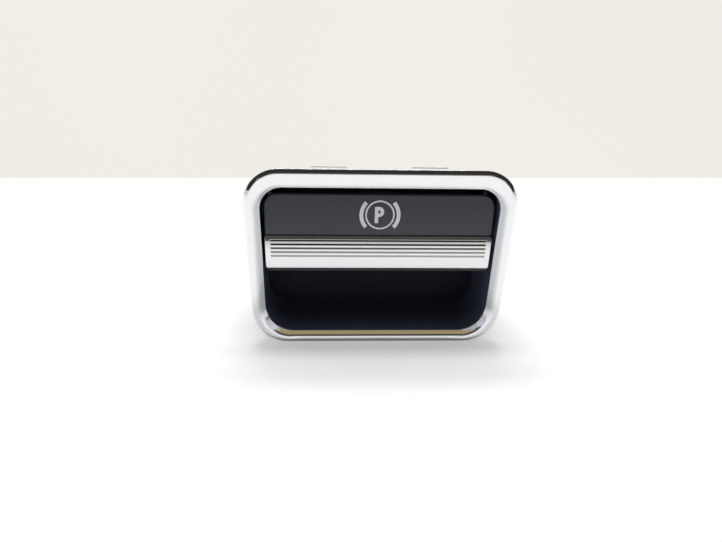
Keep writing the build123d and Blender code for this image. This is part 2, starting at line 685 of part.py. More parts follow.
def circuit_board():
    board = block((-BOARD_HALF, BOARD_HALF), (BOARD_Y, BOARD_BACK), (BOARD_BOTTOM, BOARD_TOP))
    for side in SIDES:
        board -= rod(side * BOARD_SCREW_X, BOARD_SCREW_Z, BOARD_Y, BOARD_BACK,
                     BOARD_SCREW_RADIUS + SCREW_HOLE_CLEARANCE)
    for x, z in connector_pin_places():
        board -= block((x - PIN_SIZE / 2, x + PIN_SIZE / 2), (BOARD_Y, BOARD_BACK),
                       (z - PIN_SIZE / 2, z + PIN_SIZE / 2))
    return board


def control_chip():
    """Square chip on the front of the board, left of the slider."""
    size = 5.0
    height = 1.2
    centre_x = -DRIVE_X
    return block((centre_x - size / 2, centre_x + size / 2), (BOARD_Y - height, BOARD_Y), (-size, 0))


def small_parts():
    """Row of capacitors and resistors beside the chip."""
    length = 1.6
    width = 0.8
    height = 0.6
    pitch = 2.2
    count = 6
    first = -BOARD_HALF + length
    rows = [BOARD_TOP - 2 * length, BOARD_TOP - 4 * length]
    return Compound(children=[block((first + i * pitch, first + i * pitch + width), (BOARD_Y - height, BOARD_Y),
                                    (z, z + length)) for z in rows for i in range(count)])


def symbol_lamp():
    """White lamp on the board, behind the light guide."""
    width = 2.8
    height = 3.5
    case = 1.9
    centre_z = BOARD_TOP - height / 2 - WALL / 2
    return block((-width / 2, width / 2), (BOARD_Y - case, BOARD_Y), (centre_z - height / 2, centre_z + height / 2))


def connector_pin_places():
    first_x = -(PIN_COLUMNS - 1) * PIN_PITCH / 2
    first_z = SHROUD_Z - (PIN_ROWS - 1) * PIN_PITCH / 2
    return [(first_x + i * PIN_PITCH, first_z + j * PIN_PITCH)
            for i in range(PIN_COLUMNS) for j in range(PIN_ROWS)]


def connector_pins():
    half = PIN_SIZE / 2
    start = BOARD_Y - PIN_SIZE
    end = BOARD_BACK + SHROUD_FLOOR + PIN_REACH
    return Compound(children=[block((x - half, x + half), (start, end), (z - half, z + half))
                              for x, z in connector_pin_places()])


def shroud_box(y_start, y_end, margin=0.0):
    half_width = SHROUD_WIDTH / 2 + margin
    half_height = SHROUD_HEIGHT / 2 + margin
    return block((-half_width, half_width), (y_start, y_end), (SHROUD_Z - half_height, SHROUD_Z + half_height))


def connector_shroud():
    """Socket for the car's plug, open to the rear, with the pins through its floor."""
    shroud = shroud_box(BOARD_BACK, SHROUD_BACK)
    shroud -= shroud_box(BOARD_BACK + SHROUD_FLOOR, SHROUD_BACK, -SHROUD_WALL)
    for x, z in connector_pin_places():
        shroud -= block((x - PIN_SIZE / 2, x + PIN_SIZE / 2), (BOARD_BACK, BOARD_BACK + SHROUD_FLOOR),
                        (z - PIN_SIZE / 2, z + PIN_SIZE / 2))
    return shroud


def rear_shell(inset, start, end):
    first = inset + inset_at(FRONT_DEPTH, FRONT_DRAFT)
    return loft([opening_outline(start, first + inset_at(start, REAR_DRAFT, FRONT_DEPTH)),
                 opening_outline(end, first + inset_at(end, REAR_DRAFT, FRONT_DEPTH))])


def rear_housing():
    """Rear cup that holds the board and closes the switch, with ears for the screws."""
    cup = rear_shell(-WALL, FRONT_DEPTH, REAR_BACK) & under_roof()
    for x, z in screw_places():
        cup += rod(x, z, FRONT_DEPTH, FRONT_DEPTH + SCREW_EAR, SCREW_BOSS_RADIUS)
    hollow = rear_shell(0.0, FRONT_DEPTH, REAR_BACK - WALL) & under_roof(WALL)
    head_room = SCREW_HEAD_RADIUS + SCREW_HOLE_CLEARANCE
    for x, z in screw_places():
        hollow -= rod(x, z, FRONT_DEPTH, REAR_BACK, head_room + SCREW_POCKET_WALL)
        hollow -= screw_rib(x, z, FRONT_DEPTH, REAR_BACK)
    cup -= hollow
    cup -= shroud_box(BOARD_BACK, REAR_BACK, SHROUD_GAP)
    for x, z in screw_places():
        cup -= rod(x, z, FRONT_DEPTH, FRONT_DEPTH + SCREW_EAR, SCREW_RADIUS + SCREW_HOLE_CLEARANCE)
        cup -= rod(x, z, FRONT_DEPTH + SCREW_EAR, REAR_BACK, head_room)
    for side in SIDES:
        cup += rod(side * BOARD_SCREW_X, BOARD_SCREW_Z, BOARD_BACK, REAR_BACK - WALL, BOARD_BOSS_RADIUS)
        cup -= rod(side * BOARD_SCREW_X, BOARD_SCREW_Z, BOARD_BACK, REAR_BACK - WALL, BOARD_SCREW_RADIUS)
    return cup


def cross_recess(x, z, y_start, y_end):
    half = RECESS_SIZE / 2
    thin = RECESS_WIDTH / 2
    wide = block((x - half, x + half), (y_start, y_end), (z - thin, z + thin))
    return wide + block((x - thin, x + thin), (y_start, y_end), (z - half, z + half))


def housing_screws():
    """Four screws from the rear through the ears."""
    solids = []
    seat = FRONT_DEPTH + SCREW_EAR
    for x, z in screw_places():
        screw = rod(x, z, FRONT_DEPTH - SCREW_GRIP, seat, SCREW_RADIUS)
        screw += rod(x, z, seat, seat + SCREW_HEAD, SCREW_HEAD_RADIUS)
        screw -= cross_recess(x, z, seat + SCREW_HEAD - RECESS_DEEP, seat + SCREW_HEAD)
        solids.append(screw)
    return Compound(children=solids)


def board_screws():
    """Two screws from the front through the board."""
    solids = []
    for side in SIDES:
        x = side * BOARD_SCREW_X
        z = BOARD_SCREW_Z
        screw = rod(x, z, BOARD_Y, REAR_BACK - WALL, BOARD_SCREW_RADIUS)
        screw += rod(x, z, BOARD_Y - SCREW_HEAD, BOARD_Y, SCREW_HEAD_RADIUS)
        screw -= cross_recess(x, z, BOARD_Y - SCREW_HEAD, BOARD_Y - SCREW_HEAD + RECESS_DEEP)
        solids.append(screw)
    return Compound(children=solids)


def coil_spring(x, z_low, z_high):
    """Round wire spring standing on z_low."""
    height = z_high - z_low - 2 * SPRING_SEAT_GAP - 2 * SPRING_WIRE
    path = Helix(pitch=height / SPRING_TURNS, height=height, radius=SPRING_RADIUS)
    start = path @ 0
    section = Plane(origin=start, z_dir=path % 0) * Circle(SPRING_WIRE)
    spring = sweep(section, path=path, is_frenet=True)
    return Pos(x, SPRING_Y, z_low + SPRING_SEAT_GAP + SPRING_WIRE) * spring


def upper_springs():
    return Compound(children=[coil_spring(side * SPRING_X, BAR_TOP, UPPER_SEAT_Z) for side in SIDES])


def lower_springs():
    return Compound(children=[coil_spring(side * SPRING_X, SHELF_TOP, BAR_BOTTOM) for side in SIDES])


def stop_pad(x, z_low, z_high):
    half = PAD_SIZE / 2
    return block((x - half, x + half), (SPRING_Y - half, SPRING_Y + half), (z_low, z_high))


def push_stop_pads():
    """Rubber pads under the roof that end the push."""
    low = push_pad_z()
    return Compound(children=[stop_pad(side * PAD_X, low, low + PAD_THICKNESS) for side in SIDES])


def pull_stop_pads():
    """Rubber pads on the shelf that end the pull."""
    return Compound(children=[stop_pad(side * PAD_X, SHELF_TOP, pull_pad_z()) for side in SIDES])


def retaining_clip(side):
    """Spring steel clip on the roof that snaps behind the panel."""
    steel = CLIP_STEEL
    foot_end = CLIP_FOOT_Y + CLIP_FOOT_LENGTH
    front_y = PANEL_THICKNESS + steel
    front_z = roof_z(front_y) + FIT
    outline = [(front_y, front_z), (CLIP_CREST_Y, CLIP_CREST_Z), (CLIP_FOOT_Y, roof_z(CLIP_FOOT_Y) + steel),
               (foot_end, roof_z(foot_end) + steel), (foot_end, roof_z(foot_end)),
               (CLIP_FOOT_Y, roof_z(CLIP_FOOT_Y)), (CLIP_CREST_Y, CLIP_CREST_Z - steel), (front_y + steel, front_z)]
    half = CLIP_WIDTH / 2
    clip = side_profile(outline, side * CLIP_X - half, side * CLIP_X + half)
    return clip - clip_post(side * CLIP_X)


nodes = {
    "bezel_frame": bezel_frame(),
    "front_housing": front_housing(),
    "handle_cap": handle_cap(),
    "brake_symbol": brake_symbol(),
    "pull_strip": pull_strip(),
    "handle_carrier": handle_carrier(),
    "light_guide": light_guide(),
    "hinge_pins": hinge_pins(),
    "hinge_bush_left": hinge_bush(-1),
    "hinge_bush_right": hinge_bush(1),
    "contact_slider": contact_slider(),
    "slider_guide": slider_guide(),
    "slider_contacts": slider_contacts(),
    "wiper_tracks": wiper_tracks(),
    "circuit_board": circuit_board(),
    "control_chip": control_chip(),
    "small_parts": small_parts(),
    "symbol_lamp": symbol_lamp(),
    "connector_shroud": connector_shroud(),
    "connector_pins": connector_pins(),
    "rear_housing": rear_housing(),
    "housing_screws": housing_screws(),
    "board_screws": board_screws(),
    "upper_springs": upper_springs(),
    "lower_springs": lower_springs(),
    "push_stop_pads": push_stop_pads(),
    "pull_stop_pads": pull_stop_pads(),
    "retaining_clip_left": retaining_clip(-1),
    "retaining_clip_right": retaining_clip(1),
}

os.makedirs("parts", exist_ok=True)
for name, shape in nodes.items():
    export_step(shape, f"parts/{name}.step")
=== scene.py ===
import math

import bpy
import numpy as np
from mathutils import Matrix, Vector


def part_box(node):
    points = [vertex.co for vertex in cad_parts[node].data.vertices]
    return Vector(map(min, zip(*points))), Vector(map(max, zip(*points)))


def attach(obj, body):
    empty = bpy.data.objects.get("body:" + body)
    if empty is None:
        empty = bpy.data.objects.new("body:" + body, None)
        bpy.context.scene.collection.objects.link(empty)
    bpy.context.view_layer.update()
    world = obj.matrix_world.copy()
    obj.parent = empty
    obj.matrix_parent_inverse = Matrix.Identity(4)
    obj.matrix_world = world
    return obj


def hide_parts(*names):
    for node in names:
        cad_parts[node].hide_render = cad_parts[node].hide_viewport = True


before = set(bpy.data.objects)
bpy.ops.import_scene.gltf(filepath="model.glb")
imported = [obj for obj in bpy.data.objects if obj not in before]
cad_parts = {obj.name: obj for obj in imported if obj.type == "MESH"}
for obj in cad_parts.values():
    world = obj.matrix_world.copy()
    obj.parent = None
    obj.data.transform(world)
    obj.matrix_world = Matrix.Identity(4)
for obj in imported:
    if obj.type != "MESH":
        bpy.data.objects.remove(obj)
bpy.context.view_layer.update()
MM = 0.001

# The view
# The switch stands on its lower bezel edge and two hooks, seen from 21 degrees above level and a little
# from its left, with the camera rolled by two degrees. A slim telephoto angle keeps the bezel's sides even.
PHOTO_WIDTH = 722
PHOTO_HEIGHT = 542
VIEW_ELEVATION = math.radians(21.0)
VIEW_YAW = math.radians(6.0)
VIEW_ROLL = math.radians(2.3)
VIEW_DISTANCE = 300 * MM
PIXELS_PER_METRE = 4.18 / MM
TARGET_PIXEL = (379.5, 255.0)
TARGET_POINT = np.array([0.0, -2.4 * MM, 0.0])
SENSOR_WIDTH = 36.0
NEAREST_SEEN = 10 * MM
FARTHEST_SEEN = 20.0


def view_axes(elevation, yaw, roll):
    """Right, up and forward directions: forward is turned by the yaw and pitched down, and the roll turns
    the other two about it."""
    forward = np.array([math.sin(yaw) * math.cos(elevation), math.cos(yaw) * math.cos(elevation),
                        -math.sin(elevation)])
    right = np.array([math.cos(yaw), -math.sin(yaw), 0.0])
    up = np.cross(right, forward)
    rolled_right = right * math.cos(roll) + up * math.sin(roll)
    rolled_up = up * math.cos(roll) - right * math.sin(roll)
    return rolled_right, rolled_up, forward


right, up, forward = view_axes(VIEW_ELEVATION, VIEW_YAW, VIEW_ROLL)
across = (TARGET_PIXEL[0] - PHOTO_WIDTH / 2) / PIXELS_PER_METRE
above = (PHOTO_HEIGHT / 2 - TARGET_PIXEL[1]) / PIXELS_PER_METRE
camera_place = TARGET_POINT - right * across - up * above - forward * VIEW_DISTANCE
camera_data = bpy.data.cameras.new("photo_camera")
camera_data.sensor_width = SENSOR_WIDTH
camera_data.lens = SENSOR_WIDTH * PIXELS_PER_METRE * VIEW_DISTANCE / PHOTO_WIDTH
camera_data.clip_start = NEAREST_SEEN
camera_data.clip_end = FARTHEST_SEEN
camera = bpy.data.objects.new("photo_camera", camera_data)
bpy.context.scene.collection.objects.link(camera)
turn = np.identity(4)
turn[:3, 0] = right
turn[:3, 1] = up
turn[:3, 2] = -forward
turn[:3, 3] = camera_place
camera.matrix_world = Matrix(turn.tolist())
bpy.context.scene.camera = camera
bpy.context.scene.view_settings.view_transform = "Standard"

# The table, the back wall and the light
# A plain white table carries the switch and ends behind it against a cream wall. Two soft lamps hang
# above and behind, so that the shadow falls forward; the room is white low down and dark over the viewer.
TABLE_END_ROW = 178
TABLE_REACH = 1.2
TABLE_WHITE = "ffffff"
TABLE_GRAIN = "fcfcfb"
TABLE_GRAINS_PER_METRE = 90.0
TABLE_PLAIN_SHARE = 0.39
WALL_CREAM = "f5f2ea"
WALL_GREY = "ece8e2"
# Each lamp's place, width, depth and power: the high one throws the short dark shadow, the far one the long
# pale one. Both are wider than deep, so that the shadow fades towards its ends.
SOFTBOXES = (((-0.02, 0.13, 0.73), 0.35, 0.12, 2.15), ((-0.02, 0.36, 0.64), 0.35, 0.12, 2.0))
ROOM_WHITE = "e3e4e7"
BEHIND_WHITE = "fffefa"
CEILING_GREY = "b4b4b7"
ROOM_MIDDLE = "b6b6b9"
VIEWER_DARK = "363331"
VIEWER_EDGE = "5f5d5c"
# Colours by degrees above level: round the room, and over the viewer, where the room is dark.
ROOM_COLOURS = ((16.0, ROOM_WHITE), (40.0, CEILING_GREY))
VIEWER_COLOURS = ((3.0, ROOM_WHITE), (4.0, VIEWER_EDGE), (8.0, VIEWER_EDGE), (9.5, VIEWER_DARK),
                  (13.0, VIEWER_DARK), (15.0, ROOM_MIDDLE), (31.0, ROOM_MIDDLE), (38.0, VIEWER_DARK),
                  (63.0, VIEWER_DARK), (72.0, CEILING_GREY))
VIEWER_SPREAD = 0.12
VIEWER_SPREAD_RISE = 2.0
VIEWER_SOFT_EDGE = 0.08
BEHIND_BEGINS = 0.05
BEHIND_FULL = 0.30
PANEL_TAN = "ab9184"
PANEL_PALE = "d8d9dc"
PANEL_GOLD = "a6946c"
# Eight panels show in the chrome. Each is a colour and, for its left, right, lower and upper edge, the part
# of a unit direction at which it begins and is full.
PANELS = ((PANEL_TAN, (-0.62, -0.58), (-0.30, -0.36), (0.30, 0.33), (0.48, 0.45)),
          (PANEL_PALE, (-0.60, -0.56), (-0.26, -0.32), (0.02, 0.04), (0.31, 0.28)),
          (PANEL_PALE, (0.38, 0.44), (0.70, 0.66), (0.02, 0.04), (0.36, 0.33)),
          (VIEWER_DARK, (-0.92, -0.86), (-0.57, -0.61), (0.03, 0.07), (0.72, 0.68)),
          (VIEWER_DARK, (-0.66, -0.62), (-0.22, -0.28), (0.45, 0.48), (0.72, 0.68)),
          (VIEWER_DARK, (0.68, 0.74), (0.97, 0.93), (0.0, 0.03), (0.48, 0.44)),
          (VIEWER_DARK, (0.36, 0.42), (0.90, 0.86), (0.38, 0.42), (0.72, 0.68)),
          (PANEL_GOLD, (-0.14, -0.10), (0.36, 0.32), (0.235, 0.255), (0.408, 0.395)))
# A Mix node set to colours keeps its colour sockets after those for numbers and vectors.
MIX_A = 6
MIX_B = 7
MIX_RESULT = 2


def linear(hex_colour):
    """sRGB to linear: c / 12.92 below 0.04045, and ((c + 0.055) / 1.055) to the power 2.4 above."""
    parts = [int(hex_colour[i:i + 2], 16) / 255 for i in (0, 2, 4)]
    return tuple(c / 12.92 if c <= 0.04045 else ((c + 0.055) / 1.055) ** 2.4 for c in parts) + (1.0,)


def add_node(tree, kind, settings=None, values=None, links=None):
    """Adds a node, sets its properties and socket values, and links its sockets to other nodes' outputs."""
    node = tree.nodes.new(kind)
    for name, value in (settings or {}).items():
        setattr(node, name, value)
    for socket, value in (values or {}).items():
        node.inputs[socket].default_value = value
    for socket, output in (links or {}).items():
        tree.links.new(output, node.inputs[socket])
    return node


def empty_material(name):
    """A new material and its node tree, with no nodes in it."""
    material = bpy.data.materials.new(name)
    material.use_nodes = True
    material.node_tree.nodes.clear()
    return material, material.node_tree


def mesh_object(name, vertices, faces, smooth=True):
    """Mesh object at the origin from an array of places in metres and a list of faces."""
    mesh = bpy.data.meshes.new(name)
    mesh.from_pydata(np.asarray(vertices, dtype=float).tolist(), [], faces)
    mesh.update()
    mesh.polygons.foreach_set("use_smooth", np.full(len(mesh.polygons), smooth))
    piece = bpy.data.objects.new(name, mesh)
    bpy.context.scene.collection.objects.link(piece)
    return piece


def on_table(column, row):
    """The place on the table that a pixel of the picture shows: the camera's ray through the pixel, followed
    down to the table's height."""
    ray = (forward * VIEW_DISTANCE + right * (column - PHOTO_WIDTH / 2) / PIXELS_PER_METRE
           + up * (PHOTO_HEIGHT / 2 - row) / PIXELS_PER_METRE)
    return camera_place + ray * (table_z - camera_place[2]) / ray[2]


def table_top(name):
    """White laminate. Part of its white shows straight to the camera, the rest is lit."""
    material, tree = empty_material(name)
    grain = add_node(tree, "ShaderNodeTexNoise", values={"Scale": TABLE_GRAINS_PER_METRE, "Detail": 3.0})
    tone = add_node(tree, "ShaderNodeMix", settings={"data_type": "RGBA"},
                    values={MIX_A: linear(TABLE_WHITE), MIX_B: linear(TABLE_GRAIN)},
                    links={0: grain.outputs["Fac"]})
    paint = add_node(tree, "ShaderNodeBsdfDiffuse", links={"Color": tone.outputs[MIX_RESULT]})
    plain = add_node(tree, "ShaderNodeEmission", values={"Strength": 1.0},
                     links={"Color": tone.outputs[MIX_RESULT]})
    path = add_node(tree, "ShaderNodeLightPath")
    share = add_node(tree, "ShaderNodeMath", settings={"operation": "MULTIPLY"},
                     values={1: TABLE_PLAIN_SHARE}, links={0: path.outputs["Is Camera Ray"]})
    blend = add_node(tree, "ShaderNodeMixShader",
                     links={0: share.outputs[0], 1: paint.outputs[0], 2: plain.outputs[0]})
    add_node(tree, "ShaderNodeOutputMaterial", links={"Surface": blend.outputs[0]})
    return material


table_z = float(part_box("bezel_frame")[0][2])
end_left = on_table(0, TABLE_END_ROW)
end_right = on_table(PHOTO_WIDTH, TABLE_END_ROW)
along_end = (end_right - end_left) / np.linalg.norm(end_right - end_left)
towards_viewer = np.array([along_end[1], -along_end[0], 0.0])
far_left = end_left - along_end * TABLE_REACH
far_right = end_right + along_end * TABLE_REACH
table_depth = towards_viewer * 2 * TABLE_REACH
corners = [far_left, far_left + table_depth, far_right + table_depth, far_right]
table = mesh_object("table", corners, [(0, 1, 2, 3)], smooth=False)
table.data.materials.append(table_top("white_laminate"))

for lamp_place, lamp_width, lamp_depth, lamp_power in SOFTBOXES:
    lamp_data = bpy.data.lights.new("softbox", "AREA")
    lamp_data.shape = "RECTANGLE"
    lamp_data.size = lamp_width
    lamp_data.size_y = lamp_depth
    lamp_data.energy = lamp_power
    lamp = bpy.data.objects.new("softbox", lamp_data)
    lamp.location = lamp_place
    lamp.rotation_euler = (-Vector(lamp_place)).to_track_quat("-Z", "Y").to_euler()
    bpy.context.scene.collection.objects.link(lamp)

world = bpy.data.worlds.new("studio_sky")
bpy.context.scene.world = world
world.use_nodes = True
sky = world.node_tree
sky.nodes.clear()
direction = add_node(sky, "ShaderNodeTexCoord")
parts = add_node(sky, "ShaderNodeSeparateXYZ", links={0: direction.outputs["Generated"]})


def by_height(colours):
    """Colour by the height of a direction: each colour stands at the sine of its degrees above level."""
    ramp = add_node(sky, "ShaderNodeValToRGB", links={"Fac": parts.outputs["Z"]})
    stops = ramp.color_ramp.elements
    stops[0].position = math.sin(math.radians(colours[0][0]))
    stops[0].color = linear(colours[0][1])
    stops[1].position = math.sin(math.radians(colours[-1][0]))
    stops[1].color = linear(colours[-1][1])
    for elevation, colour in colours[1:-1]:
        stop = stops.new(math.sin(math.radians(elevation)))
        stop.color = linear(colour)
    return ramp.outputs["Color"]


# The viewer's side is a wedge towards the front that widens with height, and its edges are soft.
room_colour = by_height(ROOM_COLOURS)
viewer_colour = by_height(VIEWER_COLOURS)
sideways = add_node(sky, "ShaderNodeMath", settings={"operation": "ABSOLUTE"}, links={0: parts.outputs["X"]})
spread = add_node(sky, "ShaderNodeMath", settings={"operation": "MULTIPLY_ADD"},
                  values={1: VIEWER_SPREAD_RISE, 2: VIEWER_SPREAD}, links={0: parts.outputs["Z"]})
wedge = add_node(sky, "ShaderNodeMath", settings={"operation": "MULTIPLY_ADD"},
                 links={0: parts.outputs["Y"], 1: spread.outputs[0], 2: sideways.outputs[0]})
in_front = add_node(sky, "ShaderNodeMapRange",
                    values={"From Min": VIEWER_SOFT_EDGE, "From Max": -VIEWER_SOFT_EDGE},
                    links={"Value": wedge.outputs[0]})
around = add_node(sky, "ShaderNodeMix", settings={"data_type": "RGBA"},
                  links={0: in_front.outputs["Result"], MIX_A: room_colour, MIX_B: viewer_colour})
# Each panel's share is the product of its four soft edges.
for panel_colour, left, right_side, bottom, top in PANELS:
    panel_share = add_node(sky, "ShaderNodeMapRange", values={"From Min": left[0], "From Max": left[1]},
                           links={"Value": parts.outputs["X"]})
    for axis, (begin, end) in (("X", right_side), ("Z", bottom), ("Z", top)):
        edge = add_node(sky, "ShaderNodeMapRange", values={"From Min": begin, "From Max": end},
                        links={"Value": parts.outputs[axis]})
        panel_share = add_node(sky, "ShaderNodeMath", settings={"operation": "MULTIPLY"},
                               links={0: panel_share.outputs[0], 1: edge.outputs["Result"]})
    around = add_node(sky, "ShaderNodeMix", settings={"data_type": "RGBA"},
                      values={MIX_B: linear(panel_colour)},
                      links={0: panel_share.outputs[0], MIX_A: around.outputs[MIX_RESULT]})
# Behind the switch the room is white, and the camera sees the cream wall there.
behind = add_node(sky, "ShaderNodeMapRange", values={"From Min": BEHIND_BEGINS, "From Max": BEHIND_FULL},
                  links={"Value": parts.outputs["Y"]})
room = add_node(sky, "ShaderNodeMix", settings={"data_type": "RGBA"}, values={MIX_B: linear(BEHIND_WHITE)},
                links={0: behind.outputs["Result"], MIX_A: around.outputs[MIX_RESULT]})
ray = add_node(sky, "ShaderNodeLightPath")
background = add_node(sky, "ShaderNodeBackground", values={"Strength": 1.0},
                      links={"Color": room.outputs[MIX_RESULT]})
cloud = add_node(sky, "ShaderNodeTexNoise", values={"Scale": 3.0, "Detail": 1.0},
                 links={"Vector": direction.outputs["Generated"]})
wall_tone = add_node(sky, "ShaderNodeMix", settings={"data_type": "RGBA"},
                     values={MIX_A: linear(WALL_CREAM), MIX_B: linear(WALL_GREY)},
                     links={0: cloud.outputs["Fac"]})
wall = add_node(sky, "ShaderNodeBackground", values={"Strength": 1.0},
                links={"Color": wall_tone.outputs[MIX_RESULT]})
shown = add_node(sky, "ShaderNodeMixShader",
                 links={0: ray.outputs["Is Camera Ray"], 1: background.outputs[0], 2: wall.outputs[0]})
add_node(sky, "ShaderNodeOutputWorld", links={"Surface": shown.outputs[0]})

# Bezel
# A ring of ABS with bright chrome plating, moulded in one with its skirt and pressed on the housing's
# flange. Its face is almost flat, its rim is rounded, and a bevel leads in to the handle. Sizes from here on
# are in millimetres from the middle of the panel seat.
BEZEL = {"top": 21.0, "bottom": -22.5, "top_half": 33.3, "bottom_half": 29.65,
         "top_radius": 8.0, "bottom_radius": 9.2}
OPENING = {"top": 16.4, "bottom": -19.9, "top_half": 29.1, "bottom_half": 26.5,
           "top_radius": 5.3, "bottom_radius": 6.9}
BEZEL_FACE = -2.4
RIM_FACET_WIDE = 1.02
RIM_FACET_SLOPE = math.radians(36)
RIM_FACET_END = math.radians(29)
RIM_FACET_SHARE = 0.85
RIM_SOFT_SHARE = 0.27
RIM_EDGE_ROUND = 0.04
BEZEL_BACK = -0.3
BEZEL_BACK_EDGE = 0.1
BEZEL_SKIRT = 0.7
BEZEL_SEAT = -1.2
BEZEL_SEAT_EDGE = 0.02
BEVEL_FLAT_WIDE = 0.70
BEVEL_SLOPE = math.radians(22)
BEVEL_ROUND = 4.8
BEVEL_SHARE_AT_TOP = 0.68
BEVEL_WIDER_AT_SIDES = 0.35
BEVEL_DEEPER_AT_SIDES = 0.75
BEVEL_FOOT = 0.03
LAND_STEPS = 15
RIM_EDGE_STEPS = 8
ARC_STEPS = 7
LAND_SLOPES = (0.0, 8.0, 11.0)
LAND_SLOPE_SHARES = (0.0, 0.12, 1.0)
RIM_SHARE_AT_BOTTOM = 0.08
CHROME = "e6e7ea"
CHROME_BRIGHT = "ebecef"
# Painted shade: the grey that the bevel's sides take where they lean in to the opening, and how far in it
# begins and is full.
BEVEL_PAINTED_SHADE = "b9bcbf"
PAINTED_SHADE_BEGINS = -5.5 * MM
PAINTED_SHADE_FULL = -13 * MM
SMALLEST_RADIUS = 0.05


def trapezoid(shape, inset=0.0, arc_points=28, side_points=10):
    """Points (x, z) round a trapezoid with round corners: each corner is an arc about the meeting point of
    the two sides moved in by its radius, and the sides between the arcs are divided evenly."""
    lean = (shape["top_half"] - shape["bottom_half"]) / (shape["top"] - shape["bottom"])
    slant = math.hypot(1.0, lean)
    side_angle = -math.atan(lean)
    arcs = []
    for top_corner in (True, False):
        radius = (shape["top_radius"] if top_corner else shape["bottom_radius"]) - inset
        radius = max(radius, SMALLEST_RADIUS)
        centre_z = shape["top"] - inset - radius if top_corner else shape["bottom"] + inset + radius
        half = shape["bottom_half"] + lean * (centre_z - shape["bottom"]) - inset * slant
        centre_x = half - radius * slant
        first, last = (math.pi / 2, side_angle) if top_corner else (side_angle, -math.pi / 2)
        angle = np.linspace(first, last, arc_points)
        arcs.append(np.column_stack([centre_x + radius * np.cos(angle), centre_z + radius * np.sin(angle)]))
    mirror = [arc[::-1] * (-1.0, 1.0) for arc in reversed(arcs)]
    corners = arcs + mirror
    points = []
    for number, arc in enumerate(corners):
        following = corners[(number + 1) % len(corners)][0]
        step = np.linspace(0.0, 1.0, side_points + 2)[1:-1, None]
        points.append(arc)
        points.append(arc[-1] * (1 - step) + following * step)
    return np.concatenate(points)


def ring_of_rings(name, rings):
    """Closed skin over rings of equal length: each ring joins the next point by point, and the last joins the
    first. Each ring is an (n, 3) array in millimetres."""
    count = len(rings[0])
    vertices = np.concatenate(rings) * MM
    column = np.arange(count)
    beside = (column + 1) % count
    faces = []
    for row in range(len(rings)):
        here = row * count
        there = ((row + 1) % len(rings)) * count
        faces += np.column_stack([here + column, here + beside, there + beside, there + column]).tolist()
    return mesh_object(name, vertices, faces)


def at_depth(outline, depth):
    """Outline points (x, z) placed at a depth, which is one number or one for each point."""
    return np.column_stack([outline[:, 0], np.broadcast_to(depth, len(outline)), outline[:, 1]])


def rim_profile():
    """Pairs of inset and rise over the lowest point, from the side wall to the land: a small arc from
    upright to the facet's first slope, the facet as a long arc to its last slope, and a soft arc that ends
    level."""
    pairs = [(RIM_EDGE_ROUND * (1 - math.sin(angle)), RIM_EDGE_ROUND * math.cos(angle))
             for angle in np.linspace(math.pi / 2, RIM_FACET_SLOPE, RIM_EDGE_STEPS)]
    for wide, first, last in ((RIM_FACET_WIDE * RIM_FACET_SHARE, RIM_FACET_SLOPE, RIM_FACET_END),
                              (RIM_FACET_WIDE * RIM_SOFT_SHARE, RIM_FACET_END, 0.0)):
        start, low = pairs[-1]
        radius = wide / (math.sin(first) - math.sin(last))
        pairs += [(start + radius * (math.sin(first) - math.sin(angle)),
                   low + radius * (math.cos(angle) - math.cos(first)))
                  for angle in np.linspace(first, last, ARC_STEPS)[1:]]
    return pairs


def bevel_profile():
    """Pairs of reach out from the opening and depth under the land's inner edge: a soft arc from the land's
    last slope to the bevel's, then the straight bevel down to the opening."""
    first = math.radians(LAND_SLOPES[-1])
    arc_wide = BEVEL_ROUND * (math.sin(BEVEL_SLOPE) - math.sin(first))
    pairs = [(BEVEL_FLAT_WIDE + arc_wide - BEVEL_ROUND * (math.sin(angle) - math.sin(first)),
              BEVEL_ROUND * (math.cos(first) - math.cos(angle)))
             for angle in np.linspace(first, BEVEL_SLOPE, ARC_STEPS)]
    deep = pairs[-1][1]
    pairs += [(BEVEL_FLAT_WIDE * (1 - share), deep + BEVEL_FLAT_WIDE * share * math.tan(BEVEL_SLOPE))
              for share in np.linspace(0.2, 1.0, 5)]
    return pairs


